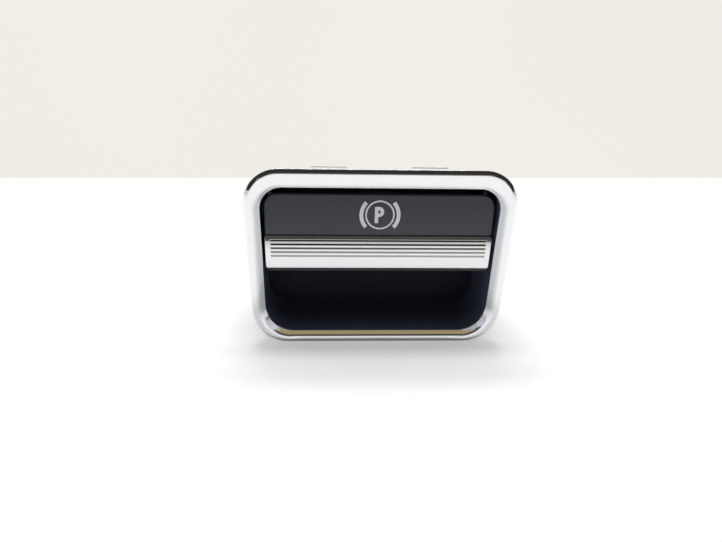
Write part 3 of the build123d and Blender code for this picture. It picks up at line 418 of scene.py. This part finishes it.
def bezel_rings():
    """Section carried round the ring: skirt, rim, land, bevel and the return to the flange. The rim follows
    the outer outline and narrows from the top to the bottom. The bevel follows the opening, narrows upwards
    and is wider and steeper at the sides, by the share of its outward direction that points sideways. The
    land sinks from one to the other, and its slope grows along the way between the given ones."""
    edge = trapezoid(BEZEL)
    height_share = (edge[:, 1] - BEZEL["bottom"]) / (BEZEL["top"] - BEZEL["bottom"])
    rim_share = (RIM_SHARE_AT_BOTTOM + (1 - RIM_SHARE_AT_BOTTOM) * height_share)[:, None]
    rim = rim_profile()
    rings = [at_depth(edge, BEZEL_BACK), at_depth(edge, BEZEL_BACK - BEZEL_BACK_EDGE)]
    for inset, rise in rim:
        outline = edge + (trapezoid(BEZEL, inset) - edge) * rim_share
        rings.append(at_depth(outline, BEZEL_FACE + (rim[-1][1] - rise) * rim_share[:, 0]))
    bevel = bevel_profile()
    hole = trapezoid(OPENING)
    outward = trapezoid(OPENING, -1.0) - hole
    sideways = np.abs(outward)[:, 0]
    upright_share = 1 + (BEVEL_SHARE_AT_TOP - 1) * height_share
    bevel_share = (upright_share + BEVEL_WIDER_AT_SIDES * sideways)[:, None]
    depth_share = upright_share + BEVEL_DEEPER_AT_SIDES * sideways
    land_start = rings[-1][:, ::2]
    land_end = hole + (trapezoid(OPENING, -bevel[0][0]) - hole) * bevel_share
    width = np.sum((land_start - land_end) * outward, axis=1)
    shares = np.linspace(0.0, 1.0, LAND_STEPS)
    slopes = np.tan(np.radians(np.interp(shares, LAND_SLOPE_SHARES, LAND_SLOPES)))
    sunk = np.concatenate([[0.0], np.cumsum((slopes[1:] + slopes[:-1]) / 2 * np.diff(shares))])
    for share, sink in zip(shares[1:-1], sunk[1:-1]):
        rings.append(at_depth(land_start * (1 - share) + land_end * share, BEZEL_FACE + sink * width))
    inner = BEZEL_FACE + sunk[-1] * width
    for reach, depth in bevel:
        outline = hole + (trapezoid(OPENING, -reach) - hole) * bevel_share
        rings.append(at_depth(outline, inner + depth * depth_share))
    rings.append(at_depth(hole, inner + bevel[-1][1] * depth_share + BEVEL_FOOT))
    rings.append(at_depth(hole, BEZEL_SEAT - BEZEL_SEAT_EDGE / 2))
    rings.append(at_depth(trapezoid(OPENING, -BEZEL_SEAT_EDGE), BEZEL_SEAT))
    rings.append(at_depth(trapezoid(BEZEL, BEZEL_SKIRT + BEZEL_SEAT_EDGE), BEZEL_SEAT))
    rings.append(at_depth(trapezoid(BEZEL, BEZEL_SKIRT), BEZEL_SEAT + BEZEL_SEAT_EDGE))
    rings.append(at_depth(trapezoid(BEZEL, BEZEL_SKIRT), BEZEL_BACK))
    return rings


def chrome_plate(name):
    """Bright chrome on moulded ABS: a mirror with a faint ripple from the moulding and fine wiping marks. A
    painted shade greys the bevel where its sides lean in to the opening, standing in for the shadowed table
    that they reflect, so that the ring reads as dished."""
    material, tree = empty_material(name)
    place = add_node(tree, "ShaderNodeTexCoord")
    ripple = add_node(tree, "ShaderNodeTexNoise", values={"Scale": 1 / (9 * MM), "Detail": 1.0},
                      links={"Vector": place.outputs["Object"]})
    stretched = add_node(tree, "ShaderNodeMapping",
                         values={"Scale": (0.12, 1.0, 1.0), "Rotation": (0.0, 0.2, 0.0)},
                         links={"Vector": place.outputs["Object"]})
    marks = add_node(tree, "ShaderNodeTexNoise",
                     values={"Scale": 1 / (0.5 * MM), "Detail": 4.0, "Roughness": 0.6},
                     links={"Vector": stretched.outputs["Vector"]})
    rough = add_node(tree, "ShaderNodeMapRange",
                     values={"From Min": 0.35, "From Max": 0.75, "To Min": 0.05, "To Max": 0.065},
                     links={"Value": marks.outputs["Fac"]})
    bump = add_node(tree, "ShaderNodeBump", values={"Strength": 0.05, "Distance": 0.5 * MM},
                    links={"Height": ripple.outputs["Fac"]})
    tone = add_node(tree, "ShaderNodeMix", settings={"data_type": "RGBA"},
                    values={MIX_A: linear(CHROME), MIX_B: linear(CHROME_BRIGHT)},
                    links={0: marks.outputs["Fac"]})
    # Painted shade: the bevel's sides turn grey as they lean in to the opening.
    facing = add_node(tree, "ShaderNodeNewGeometry")
    sideways = add_node(tree, "ShaderNodeVectorMath", settings={"operation": "MULTIPLY"},
                        values={1: (1.0, 0.0, 0.0)}, links={0: facing.outputs["Normal"]})
    lean = add_node(tree, "ShaderNodeVectorMath", settings={"operation": "DOT_PRODUCT"},
                    links={0: sideways.outputs["Vector"], 1: place.outputs["Object"]})
    painted_shade = add_node(tree, "ShaderNodeMapRange", values={"From Min": PAINTED_SHADE_BEGINS, "From Max": PAINTED_SHADE_FULL},
                    links={"Value": lean.outputs["Value"]})
    with_painted_shade = add_node(tree, "ShaderNodeMix", settings={"data_type": "RGBA"},
                     values={MIX_B: linear(BEVEL_PAINTED_SHADE)},
                     links={0: painted_shade.outputs["Result"], MIX_A: tone.outputs[MIX_RESULT]})
    metal = add_node(tree, "ShaderNodeBsdfPrincipled", values={"Metallic": 1.0},
                     links={"Base Color": with_painted_shade.outputs[MIX_RESULT], "Roughness": rough.outputs["Result"],
                            "Normal": bump.outputs["Normal"]})
    add_node(tree, "ShaderNodeOutputMaterial", links={"Surface": metal.outputs[0]})
    return material


bezel = ring_of_rings("chrome_bezel", bezel_rings())
bezel.data.materials.append(chrome_plate("chrome_plated_abs"))
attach(bezel, "housing")
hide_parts("bezel_frame")

# Housings
# The front housing carries the flange, the finger pocket and the hooks, and the rear one closes it. Both are
# black PC/ABS with a fine spark-eroded grain, which turns light to a soft dark grey and never shines.
HOUSING_BLACK = "1c1c1f"
HOUSING_WORN = "232326"
# Painted light on the pocket's walls, palest at its mouth, and painted shade on its back, which is almost
# black.
POCKET_WALL_PAINTED_LIGHT = "474c60"
POCKET_MOUTH_PAINTED_LIGHT = "5a6076"
MOUTH_PAINTED_LIGHT_DEPTH = 7.0
POCKET_BACK_PAINTED_SHADE = "0d0f22"
POCKET_DEEP = 13.6
POCKET_MIDDLE_Z = -1.7
EDGE_ROUND = 0.25 * MM
ROUGHNESS_SPREAD = 0.06


def moulded_plastic(name, colour, variation, grain_mm, roughness, bump_strength, gloss=0.5):
    """Moulded thermoplastic: colour drifts slowly over the part, a fine eroded grain breaks the gloss, and
    its sharp edges catch the light as if slightly rounded."""
    material, tree = empty_material(name)
    place = add_node(tree, "ShaderNodeTexCoord")
    drift = add_node(tree, "ShaderNodeTexNoise", values={"Scale": 1 / (14 * MM), "Detail": 2.0},
                     links={"Vector": place.outputs["Object"]})
    grain = add_node(tree, "ShaderNodeTexNoise", values={"Scale": 1 / (grain_mm * MM), "Detail": 2.0},
                     links={"Vector": place.outputs["Object"]})
    tone = add_node(tree, "ShaderNodeMix", settings={"data_type": "RGBA"},
                    values={MIX_A: linear(colour), MIX_B: linear(variation)},
                    links={0: drift.outputs["Fac"]})
    rough = add_node(tree, "ShaderNodeMapRange",
                     values={"From Min": 0.3, "From Max": 0.7, "To Min": roughness - ROUGHNESS_SPREAD,
                             "To Max": roughness + ROUGHNESS_SPREAD},
                     links={"Value": grain.outputs["Fac"]})
    edge = add_node(tree, "ShaderNodeBevel", values={"Radius": EDGE_ROUND})
    bump = add_node(tree, "ShaderNodeBump", values={"Strength": bump_strength, "Distance": 0.02 * MM},
                    links={"Height": grain.outputs["Fac"], "Normal": edge.outputs["Normal"]})
    body = add_node(tree, "ShaderNodeBsdfPrincipled", values={"IOR": 1.52, "Specular IOR Level": gloss},
                    links={"Base Color": tone.outputs[MIX_RESULT], "Roughness": rough.outputs["Result"],
                           "Normal": bump.outputs["Normal"]})
    add_node(tree, "ShaderNodeOutputMaterial", links={"Surface": body.outputs[0]})
    return material


def dress(node_name, material):
    """Gives a carried-over piece its finish in every slot."""
    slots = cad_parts[node_name].material_slots
    for piece_slot in slots:
        piece_slot.material = material


def paint_pocket_light_and_shade(material, painted_wall_light, painted_mouth_light, painted_back_shade):
    """Paints light and shade inside the pocket: its walls, which face its middle, are painted paler as if
    lit, palest at the mouth where most light enters, and its back, which faces the driver, is painted almost
    black as shade."""
    tree = material.node_tree
    body = next(node for node in tree.nodes if node.type == "BSDF_PRINCIPLED")
    outside = body.inputs["Base Color"].links[0].from_socket
    coordinates = add_node(tree, "ShaderNodeTexCoord")
    place = add_node(tree, "ShaderNodeSeparateXYZ", links={0: coordinates.outputs["Object"]})
    shallow = add_node(tree, "ShaderNodeMath", settings={"operation": "LESS_THAN"},
                       values={1: POCKET_DEEP * MM}, links={0: place.outputs["Y"]})
    from_middle = add_node(tree, "ShaderNodeVectorMath", settings={"operation": "MULTIPLY_ADD"},
                           values={1: (1.0, 0.0, 1.0), 2: (0.0, 0.0, -POCKET_MIDDLE_Z * MM)},
                           links={0: coordinates.outputs["Object"]})
    facing = add_node(tree, "ShaderNodeNewGeometry")
    outward = add_node(tree, "ShaderNodeVectorMath", settings={"operation": "DOT_PRODUCT"},
                       links={0: facing.outputs["True Normal"], 1: from_middle.outputs["Vector"]})
    inward = add_node(tree, "ShaderNodeMath", settings={"operation": "LESS_THAN"}, values={1: 0.0},
                      links={0: outward.outputs["Value"]})
    wall = add_node(tree, "ShaderNodeMath", settings={"operation": "MULTIPLY"},
                    links={0: inward.outputs[0], 1: shallow.outputs[0]})
    normal = add_node(tree, "ShaderNodeSeparateXYZ", links={0: facing.outputs["True Normal"]})
    frontal = add_node(tree, "ShaderNodeMath", settings={"operation": "MULTIPLY", "use_clamp": True},
                       values={1: -1.0}, links={0: normal.outputs["Y"]})
    back = add_node(tree, "ShaderNodeMath", settings={"operation": "MULTIPLY"},
                    links={0: frontal.outputs[0], 1: shallow.outputs[0]})
    # Painted light: the walls get paler towards the mouth, over the given depth.
    mouth = add_node(tree, "ShaderNodeMapRange",
                     values={"From Min": MOUTH_PAINTED_LIGHT_DEPTH * MM, "From Max": 0.0},
                     links={"Value": place.outputs["Y"]})
    wall_tone = add_node(tree, "ShaderNodeMix", settings={"data_type": "RGBA"},
                         values={MIX_A: linear(painted_wall_light), MIX_B: linear(painted_mouth_light)},
                         links={0: mouth.outputs["Result"]})
    with_painted_wall_light = add_node(tree, "ShaderNodeMix", settings={"data_type": "RGBA"},
                          links={0: wall.outputs[0], MIX_A: outside, MIX_B: wall_tone.outputs[MIX_RESULT]})
    # Painted shade: the back that faces the driver is almost black.
    with_painted_back_shade = add_node(tree, "ShaderNodeMix", settings={"data_type": "RGBA"},
                         values={MIX_B: linear(painted_back_shade)},
                         links={0: back.outputs[0], MIX_A: with_painted_wall_light.outputs[MIX_RESULT]})
    tree.links.new(with_painted_back_shade.outputs[MIX_RESULT], body.inputs["Base Color"])


housing_black = moulded_plastic("black_pc_abs", HOUSING_BLACK, HOUSING_WORN,
                                grain_mm=0.25, roughness=0.5, bump_strength=0.35, gloss=0.35)
pocket_painted_light_and_shade = moulded_plastic("black_pc_abs_with_painted_pocket_light", HOUSING_BLACK, HOUSING_WORN,
                               grain_mm=0.25, roughness=0.55, bump_strength=0.35, gloss=0.2)
# Painted light on the pocket's walls and mouth, and painted shade on its back.
paint_pocket_light_and_shade(pocket_painted_light_and_shade, POCKET_WALL_PAINTED_LIGHT, POCKET_MOUTH_PAINTED_LIGHT, POCKET_BACK_PAINTED_SHADE)
dress("front_housing", pocket_painted_light_and_shade)
dress("rear_housing", housing_black)

# Handle cap
# The upper half of the handle: PC/ABS with a satin soft-touch paint. It leans back a little towards its top,
# its edge is rounded, and it is fixed to the carrier behind it.
CAP = {"top": 14.1, "bottom": 4.15, "top_half": 27.9, "bottom_half": 27.4,
       "top_radius": 3.2, "bottom_radius": 0.3}
CAP_FACE = 0.0
CAP_CREST_Z = 3.5
CAP_CURVE = 65.0
CAP_CROWN = 0.04
CAP_BACK = 1.7
CAP_ROUND = 0.3
CAP_PAINT = "35373f"
CAP_PAINT_LIGHT = "393c44"


def distance_inside(shape, x, z):
    """Distance from the outline, positive inside: the nearest side, or the corner's arc near a corner."""
    lean = (shape["top_half"] - shape["bottom_half"]) / (shape["top"] - shape["bottom"])
    slant = math.hypot(1.0, lean)
    side = (shape["bottom_half"] + lean * (z - shape["bottom"]) - np.abs(x)) / slant
    inside = side
    for edge, radius in ((shape["top"] - z, shape["top_radius"]),
                         (z - shape["bottom"], shape["bottom_radius"])):
        corner = radius - np.hypot(np.maximum(radius - edge, 0.0), np.maximum(radius - side, 0.0))
        plain = np.minimum(edge, side)
        near = (edge < radius) & (side < radius)
        inside = np.minimum(inside, np.where(near, corner, plain))
    return inside


def half_width(shape, z):
    """Half the width at height z, corner arcs included."""
    lean = (shape["top_half"] - shape["bottom_half"]) / (shape["top"] - shape["bottom"])
    slant = math.hypot(1.0, lean)
    half = shape["bottom_half"] + lean * (z - shape["bottom"])
    for edge, radius in ((shape["top"] - z, shape["top_radius"]),
                         (z - shape["bottom"], shape["bottom_radius"])):
        into = np.clip(radius - edge, 0.0, radius)
        half = half - (radius - np.sqrt(radius * radius - into * into)) * slant
    return half


def packed_line(first, last, edge, fine, coarse):
    """Values from first to last, in fine steps within edge of both ends and coarse steps between."""
    near_first = np.linspace(first, first + edge, fine, endpoint=False)
    near_last = np.linspace(last, last - edge, fine, endpoint=False)[::-1]
    return np.concatenate([near_first, np.linspace(first + edge, last - edge, coarse), near_last])


def panel(name, shape, front, back, edge_round, columns, rows):
    """Closed slab with a shaped front, on a grid of heights and shares of the half width: the front's depth
    is front(x, z) plus a quarter-round that falls away within edge_round of the outline. The grid's border
    is carried straight back and closed by one flat face."""
    z = rows[:, None]
    x = columns[None, :] * half_width(shape, z)
    z = np.broadcast_to(z, x.shape)
    inside = np.clip(distance_inside(shape, x, z), 0.0, edge_round)
    fall = edge_round - np.sqrt(np.maximum(edge_round ** 2 - (edge_round - inside) ** 2, 0.0))
    y = front(x, z) + fall
    tall, wide = x.shape
    grid = np.arange(tall * wide).reshape(tall, wide)
    vertices = np.column_stack([x.ravel(), y.ravel(), z.ravel()])
    faces = np.stack([grid[:-1, :-1], grid[:-1, 1:], grid[1:, 1:], grid[1:, :-1]], axis=-1).reshape(-1, 4)
    border = np.concatenate([grid[0, :], grid[1:, -1], grid[-1, -2::-1], grid[-2:0:-1, 0]])
    back_ring = vertices[border].copy()
    back_ring[:, 1] = back
    first_back = len(vertices)
    index = np.arange(len(border))
    beside = (index + 1) % len(border)
    walls = np.column_stack([border[beside], border, first_back + index, first_back + beside])
    all_faces = faces.tolist() + walls.tolist() + [(first_back + index).tolist()]
    return mesh_object(name, np.concatenate([vertices, back_ring]) * MM, all_faces)


def cap_front(x, z):
    """A barrel: depth grows with the square of the height over the crest, divided by twice the curve, and a
    slight crown is added across the width."""
    return CAP_FACE + (z - CAP_CREST_Z) ** 2 / (2 * CAP_CURVE) + CAP_CROWN * (x / CAP["top_half"]) ** 2


def satin_paint(name):
    """Satin paint on plastic: even colour, soft broad gloss, and a very fine orange-peel texture."""
    material, tree = empty_material(name)
    place = add_node(tree, "ShaderNodeTexCoord")
    peel = add_node(tree, "ShaderNodeTexNoise", values={"Scale": 1 / (0.35 * MM), "Detail": 2.0},
                    links={"Vector": place.outputs["Object"]})
    drift = add_node(tree, "ShaderNodeTexNoise", values={"Scale": 1 / (12 * MM), "Detail": 1.0},
                     links={"Vector": place.outputs["Object"]})
    tone = add_node(tree, "ShaderNodeMix", settings={"data_type": "RGBA"},
                    values={MIX_A: linear(CAP_PAINT), MIX_B: linear(CAP_PAINT_LIGHT)},
                    links={0: drift.outputs["Fac"]})
    rough = add_node(tree, "ShaderNodeMapRange",
                     values={"From Min": 0.3, "From Max": 0.7, "To Min": 0.36, "To Max": 0.44},
                     links={"Value": peel.outputs["Fac"]})
    bump = add_node(tree, "ShaderNodeBump", values={"Strength": 0.15, "Distance": 0.02 * MM},
                    links={"Height": peel.outputs["Fac"]})
    body = add_node(tree, "ShaderNodeBsdfPrincipled", values={"IOR": 1.5},
                    links={"Base Color": tone.outputs[MIX_RESULT], "Roughness": rough.outputs["Result"],
                           "Normal": bump.outputs["Normal"]})
    add_node(tree, "ShaderNodeOutputMaterial", links={"Surface": body.outputs[0]})
    return material


cap_columns = packed_line(-1.0, 1.0, edge=0.03, fine=8, coarse=60)
cap_rows = packed_line(CAP["bottom"], CAP["top"], edge=0.6, fine=8, coarse=60)
cap = panel("handle_cap_panel", CAP, cap_front, CAP_BACK, CAP_ROUND, cap_columns, cap_rows)
cap.data.materials.append(satin_paint("soft_touch_satin_paint"))
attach(cap, "handle")
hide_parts("handle_cap")

# Symbol
# The standard sign for a parking brake, a letter in a circle between two brackets. It is clear plastic
# backed with light grey ink, let into the cap, and glows when the brake is on.
SYMBOL_GREY = "eceef1"
SYMBOL_GREY_DEEP = "e3e6ea"
dress("brake_symbol", moulded_plastic("light_grey_inlay", SYMBOL_GREY, SYMBOL_GREY_DEEP,
                                      grain_mm=0.5, roughness=0.40, bump_strength=0.1))

# Pull strip
# A bar of satin-plated ABS that the fingers find. Five fine grooves run along it above a plain band, and its
# face is barrelled, so that it catches the table below and the dark room above.
STRIP = {"top": 3.7, "bottom": -4.15, "top_half": 27.5, "bottom_half": 27.0,
         "top_radius": 0.3, "bottom_radius": 0.5}
STRIP_CREST_Y = -0.5
STRIP_CREST_Z = -1.5
STRIP_CURVE = 24.0
SHOULDER_START = 2.62
SHOULDER_SLOPE = math.radians(3.2)
STRIP_BACK = 1.9
STRIP_ROUND = 0.08
GROOVE_FIRST = 2.74
GROOVE_PITCH = 0.95
GROOVE_COUNT = 5
GROOVE_INSET = 1.25
GROOVE_END_FADE = 0.25
GROOVE_STEP = 0.05
GROOVE_RAMP = 0.44
GROOVE_DEEP = 0.195
STRIP_METAL = "e4e4e6"
STRIP_METAL_DEEP = "dfe0e2"


def strip_front(x, z):
    """Barrel plus grooves: depth grows with the square of the height over the crest, divided by twice the
    curve, and the shoulder above its start leans further back. Each groove steps in at its top, then ramps
    out evenly below, and fades to nothing at its ends."""
    barrel = STRIP_CREST_Y + (z - STRIP_CREST_Z) ** 2 / (2 * STRIP_CURVE)
    barrel = barrel + np.maximum(z - SHOULDER_START, 0.0) * math.tan(SHOULDER_SLOPE)
    along = np.clip((half_width(STRIP, z) - GROOVE_INSET - np.abs(x)) / GROOVE_END_FADE, 0.0, 1.0)
    cut = np.zeros_like(barrel)
    for number in range(GROOVE_COUNT):
        under = GROOVE_FIRST + GROOVE_RAMP / 2 - number * GROOVE_PITCH - z
        cut = cut + np.clip(np.minimum(1 + under / GROOVE_STEP, 1 - under / GROOVE_RAMP), 0.0, 1.0)
    return barrel + GROOVE_DEEP * cut * along


def satin_plate(name):
    """Satin nickel on ABS: a metal with a fine matt bloom, a little finer along the bar."""
    material, tree = empty_material(name)
    place = add_node(tree, "ShaderNodeTexCoord")
    along = add_node(tree, "ShaderNodeMapping", values={"Scale": (0.15, 1.0, 1.0)},
                     links={"Vector": place.outputs["Object"]})
    bloom = add_node(tree, "ShaderNodeTexNoise", values={"Scale": 1 / (0.18 * MM), "Detail": 3.0},
                     links={"Vector": along.outputs["Vector"]})
    tone = add_node(tree, "ShaderNodeMix", settings={"data_type": "RGBA"},
                    values={MIX_A: linear(STRIP_METAL), MIX_B: linear(STRIP_METAL_DEEP)},
                    links={0: bloom.outputs["Fac"]})
    rough = add_node(tree, "ShaderNodeMapRange",
                     values={"From Min": 0.3, "From Max": 0.7, "To Min": 0.06, "To Max": 0.085},
                     links={"Value": bloom.outputs["Fac"]})
    bump = add_node(tree, "ShaderNodeBump", values={"Strength": 0.03, "Distance": 0.02 * MM},
                    links={"Height": bloom.outputs["Fac"]})
    metal = add_node(tree, "ShaderNodeBsdfPrincipled", values={"Metallic": 1.0},
                     links={"Base Color": tone.outputs[MIX_RESULT], "Roughness": rough.outputs["Result"],
                            "Normal": bump.outputs["Normal"]})
    add_node(tree, "ShaderNodeOutputMaterial", links={"Surface": metal.outputs[0]})
    return material


strip_columns = packed_line(-1.0, 1.0, edge=0.07, fine=28, coarse=60)
strip_rows = packed_line(STRIP["bottom"], STRIP["top"], edge=0.3, fine=8, coarse=320)
strip = panel("satin_pull_strip", STRIP, strip_front, STRIP_BACK, STRIP_ROUND, strip_columns, strip_rows)
strip.data.materials.append(satin_plate("satin_nickel_plate"))
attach(strip, "handle")
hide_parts("pull_strip")

# Carrier and its light guide
# The carrier is dark grey glass-filled nylon, and its lower lip shows as a thin line under the strip. The
# light guide is clear polycarbonate, held in the carrier's window.
CARRIER_GREY = "434347"
CARRIER_GREY_LIGHT = "4a4a4e"
CLEAR_TINT = "eef4f6"
dress("handle_carrier", moulded_plastic("dark_grey_nylon", CARRIER_GREY, CARRIER_GREY_LIGHT,
                                        grain_mm=0.3, roughness=0.5, bump_strength=0.3))


def clear_moulding(name):
    """Clear polycarbonate with a few flow ripples."""
    material, tree = empty_material(name)
    place = add_node(tree, "ShaderNodeTexCoord")
    ripple = add_node(tree, "ShaderNodeTexNoise", values={"Scale": 1 / (3 * MM), "Detail": 1.0},
                      links={"Vector": place.outputs["Object"]})
    rough = add_node(tree, "ShaderNodeMapRange", values={"To Min": 0.03, "To Max": 0.12},
                     links={"Value": ripple.outputs["Fac"]})
    bump = add_node(tree, "ShaderNodeBump", values={"Strength": 0.05, "Distance": 0.1 * MM},
                    links={"Height": ripple.outputs["Fac"]})
    body = add_node(tree, "ShaderNodeBsdfPrincipled",
                    values={"Base Color": linear(CLEAR_TINT), "IOR": 1.58, "Transmission Weight": 0.9},
                    links={"Roughness": rough.outputs["Result"], "Normal": bump.outputs["Normal"]})
    add_node(tree, "ShaderNodeOutputMaterial", links={"Surface": body.outputs[0]})
    return material


dress("light_guide", clear_moulding("clear_polycarbonate"))

# Hinge
# Two ground steel dowels turn in bushes of natural white acetal, a slippery plastic with a waxy look. The
# dowels are pressed in the carrier's hubs, and the bushes sit in bosses of the housing's side walls.
LINES_SMOOTHER = 0.06
LINES_ROUGHER = 0.08


def worked_metal(name, colour, variation, lines_mm, roughness, stretch):
    """Machined or rolled metal: fine lines along one direction break the reflection."""
    material, tree = empty_material(name)
    place = add_node(tree, "ShaderNodeTexCoord")
    along = add_node(tree, "ShaderNodeMapping", values={"Scale": stretch},
                     links={"Vector": place.outputs["Object"]})
    lines = add_node(tree, "ShaderNodeTexNoise", values={"Scale": 1 / (lines_mm * MM), "Detail": 3.0},
                     links={"Vector": along.outputs["Vector"]})
    tone = add_node(tree, "ShaderNodeMix", settings={"data_type": "RGBA"},
                    values={MIX_A: linear(colour), MIX_B: linear(variation)},
                    links={0: lines.outputs["Fac"]})
    rough = add_node(tree, "ShaderNodeMapRange",
                     values={"From Min": 0.3, "From Max": 0.7, "To Min": roughness - LINES_SMOOTHER,
                             "To Max": roughness + LINES_ROUGHER},
                     links={"Value": lines.outputs["Fac"]})
    edge = add_node(tree, "ShaderNodeBevel", values={"Radius": EDGE_ROUND / 2})
    bump = add_node(tree, "ShaderNodeBump", values={"Strength": 0.12, "Distance": 0.02 * MM},
                    links={"Height": lines.outputs["Fac"], "Normal": edge.outputs["Normal"]})
    metal = add_node(tree, "ShaderNodeBsdfPrincipled", values={"Metallic": 1.0},
                     links={"Base Color": tone.outputs[MIX_RESULT], "Roughness": rough.outputs["Result"],
                            "Normal": bump.outputs["Normal"]})
    add_node(tree, "ShaderNodeOutputMaterial", links={"Surface": metal.outputs[0]})
    return material


dress("hinge_pins", worked_metal("ground_steel", colour="c8c8ca", variation="b4b5b8",
                                 lines_mm=0.1, roughness=0.22, stretch=(1.0, 0.2, 0.2)))
white_acetal = moulded_plastic("natural_acetal", colour="e4e3dc", variation="d9d8d0",
                               grain_mm=0.6, roughness=0.42, bump_strength=0.1)
dress("hinge_bush_left", white_acetal)
dress("hinge_bush_right", white_acetal)

# Slider, its guide and its contacts
# The slider is acetal and runs in a guide of grey PBT on the board. Its two wipers are spring bronze, and
# the tracks they touch are gold-plated copper.
dress("contact_slider", white_acetal)
dress("slider_guide", moulded_plastic("grey_pbt", colour="5b6067", variation="646971",
                                      grain_mm=0.3, roughness=0.5, bump_strength=0.3))
dress("slider_contacts", worked_metal("spring_bronze", colour="c49a64", variation="b58950",
                                      lines_mm=0.1, roughness=0.3, stretch=(1.0, 1.0, 0.2)))
dress("wiper_tracks", worked_metal("gold_plate", colour="d9b04c", variation="cda443",
                                   lines_mm=0.2, roughness=0.25, stretch=(1.0, 1.0, 0.3)))

# Circuit board and what is soldered to it
# Glass-epoxy board under green solder resist, with a control chip, small ceramic parts and a white lamp. It
# is screwed to bosses in the housing and carries the slider's tracks.
BOARD_GREEN = "12502a"
BOARD_GREEN_LIGHT = "1a6336"
THREAD_SPACING = 1.6 * MM


def solder_resist(name):
    """Green lacquer over woven glass: the weave shows faintly as two crossed sets of threads."""
    material, tree = empty_material(name)
    place = add_node(tree, "ShaderNodeTexCoord")
    warp = add_node(tree, "ShaderNodeTexWave", settings={"bands_direction": "X"},
                    values={"Scale": 1 / THREAD_SPACING}, links={"Vector": place.outputs["Object"]})
    weft = add_node(tree, "ShaderNodeTexWave", settings={"bands_direction": "Z"},
                    values={"Scale": 1 / THREAD_SPACING}, links={"Vector": place.outputs["Object"]})
    weave = add_node(tree, "ShaderNodeMath", settings={"operation": "MULTIPLY"},
                     links={0: warp.outputs["Fac"], 1: weft.outputs["Fac"]})
    tone = add_node(tree, "ShaderNodeMix", settings={"data_type": "RGBA"},
                    values={MIX_A: linear(BOARD_GREEN), MIX_B: linear(BOARD_GREEN_LIGHT)},
                    links={0: weave.outputs[0]})
    body = add_node(tree, "ShaderNodeBsdfPrincipled", values={"IOR": 1.5, "Roughness": 0.3},
                    links={"Base Color": tone.outputs[MIX_RESULT]})
    add_node(tree, "ShaderNodeOutputMaterial", links={"Surface": body.outputs[0]})
    return material


dress("circuit_board", solder_resist("green_solder_resist"))
dress("control_chip", moulded_plastic("black_epoxy", colour="222224", variation="2a2a2c",
                                      grain_mm=0.15, roughness=0.55, bump_strength=0.3))
dress("small_parts", moulded_plastic("ceramic_and_tin", colour="8d7a62", variation="a08c72",
                                     grain_mm=0.4, roughness=0.4, bump_strength=0.2))
dress("symbol_lamp", moulded_plastic("white_lamp_body", colour="efeee6", variation="e6e4d4",
                                     grain_mm=0.5, roughness=0.4, bump_strength=0.1))

# Socket
# A shroud of black glass-filled PBT with two rows of square tinned brass pins for the car's plug. It is
# moulded grainy, so its walls stay matt next to the bright pins.
dress("connector_shroud", moulded_plastic("black_pbt", colour="202022", variation="29292c",
                                          grain_mm=0.3, roughness=0.45, bump_strength=0.3))
dress("connector_pins", worked_metal("tinned_brass", colour="d2d2cf", variation="c2c2c0",
                                     lines_mm=0.15, roughness=0.28, stretch=(1.0, 0.2, 1.0)))

# Screws, springs, clips and pads
# Zinc-plated steel screws, springs of bright drawn wire, clips of coated spring steel on the roof, and black
# rubber stop pads that end the handle's travel quietly.
zinc = worked_metal("bright_zinc_plate", colour="c4c6c9", variation="b2b6bb",
                    lines_mm=0.25, roughness=0.32, stretch=(1.0, 1.0, 1.0))
dress("housing_screws", zinc)
dress("board_screws", zinc)
drawn_wire = worked_metal("drawn_spring_wire", colour="a9abae", variation="97999d",
                          lines_mm=0.1, roughness=0.3, stretch=(1.0, 1.0, 1.0))
dress("upper_springs", drawn_wire)
dress("lower_springs", drawn_wire)
clip_steel = worked_metal("zinc_flake_spring_steel", colour="c8c8c6", variation="b2b3b4",
                          lines_mm=0.2, roughness=0.42, stretch=(1.0, 0.3, 0.3))
dress("retaining_clip_left", clip_steel)
dress("retaining_clip_right", clip_steel)
pad_rubber = moulded_plastic("black_rubber", colour="1c1c1d", variation="232324",
                             grain_mm=0.4, roughness=0.75, bump_strength=0.4)
dress("push_stop_pads", pad_rubber)
dress("pull_stop_pads", pad_rubber)
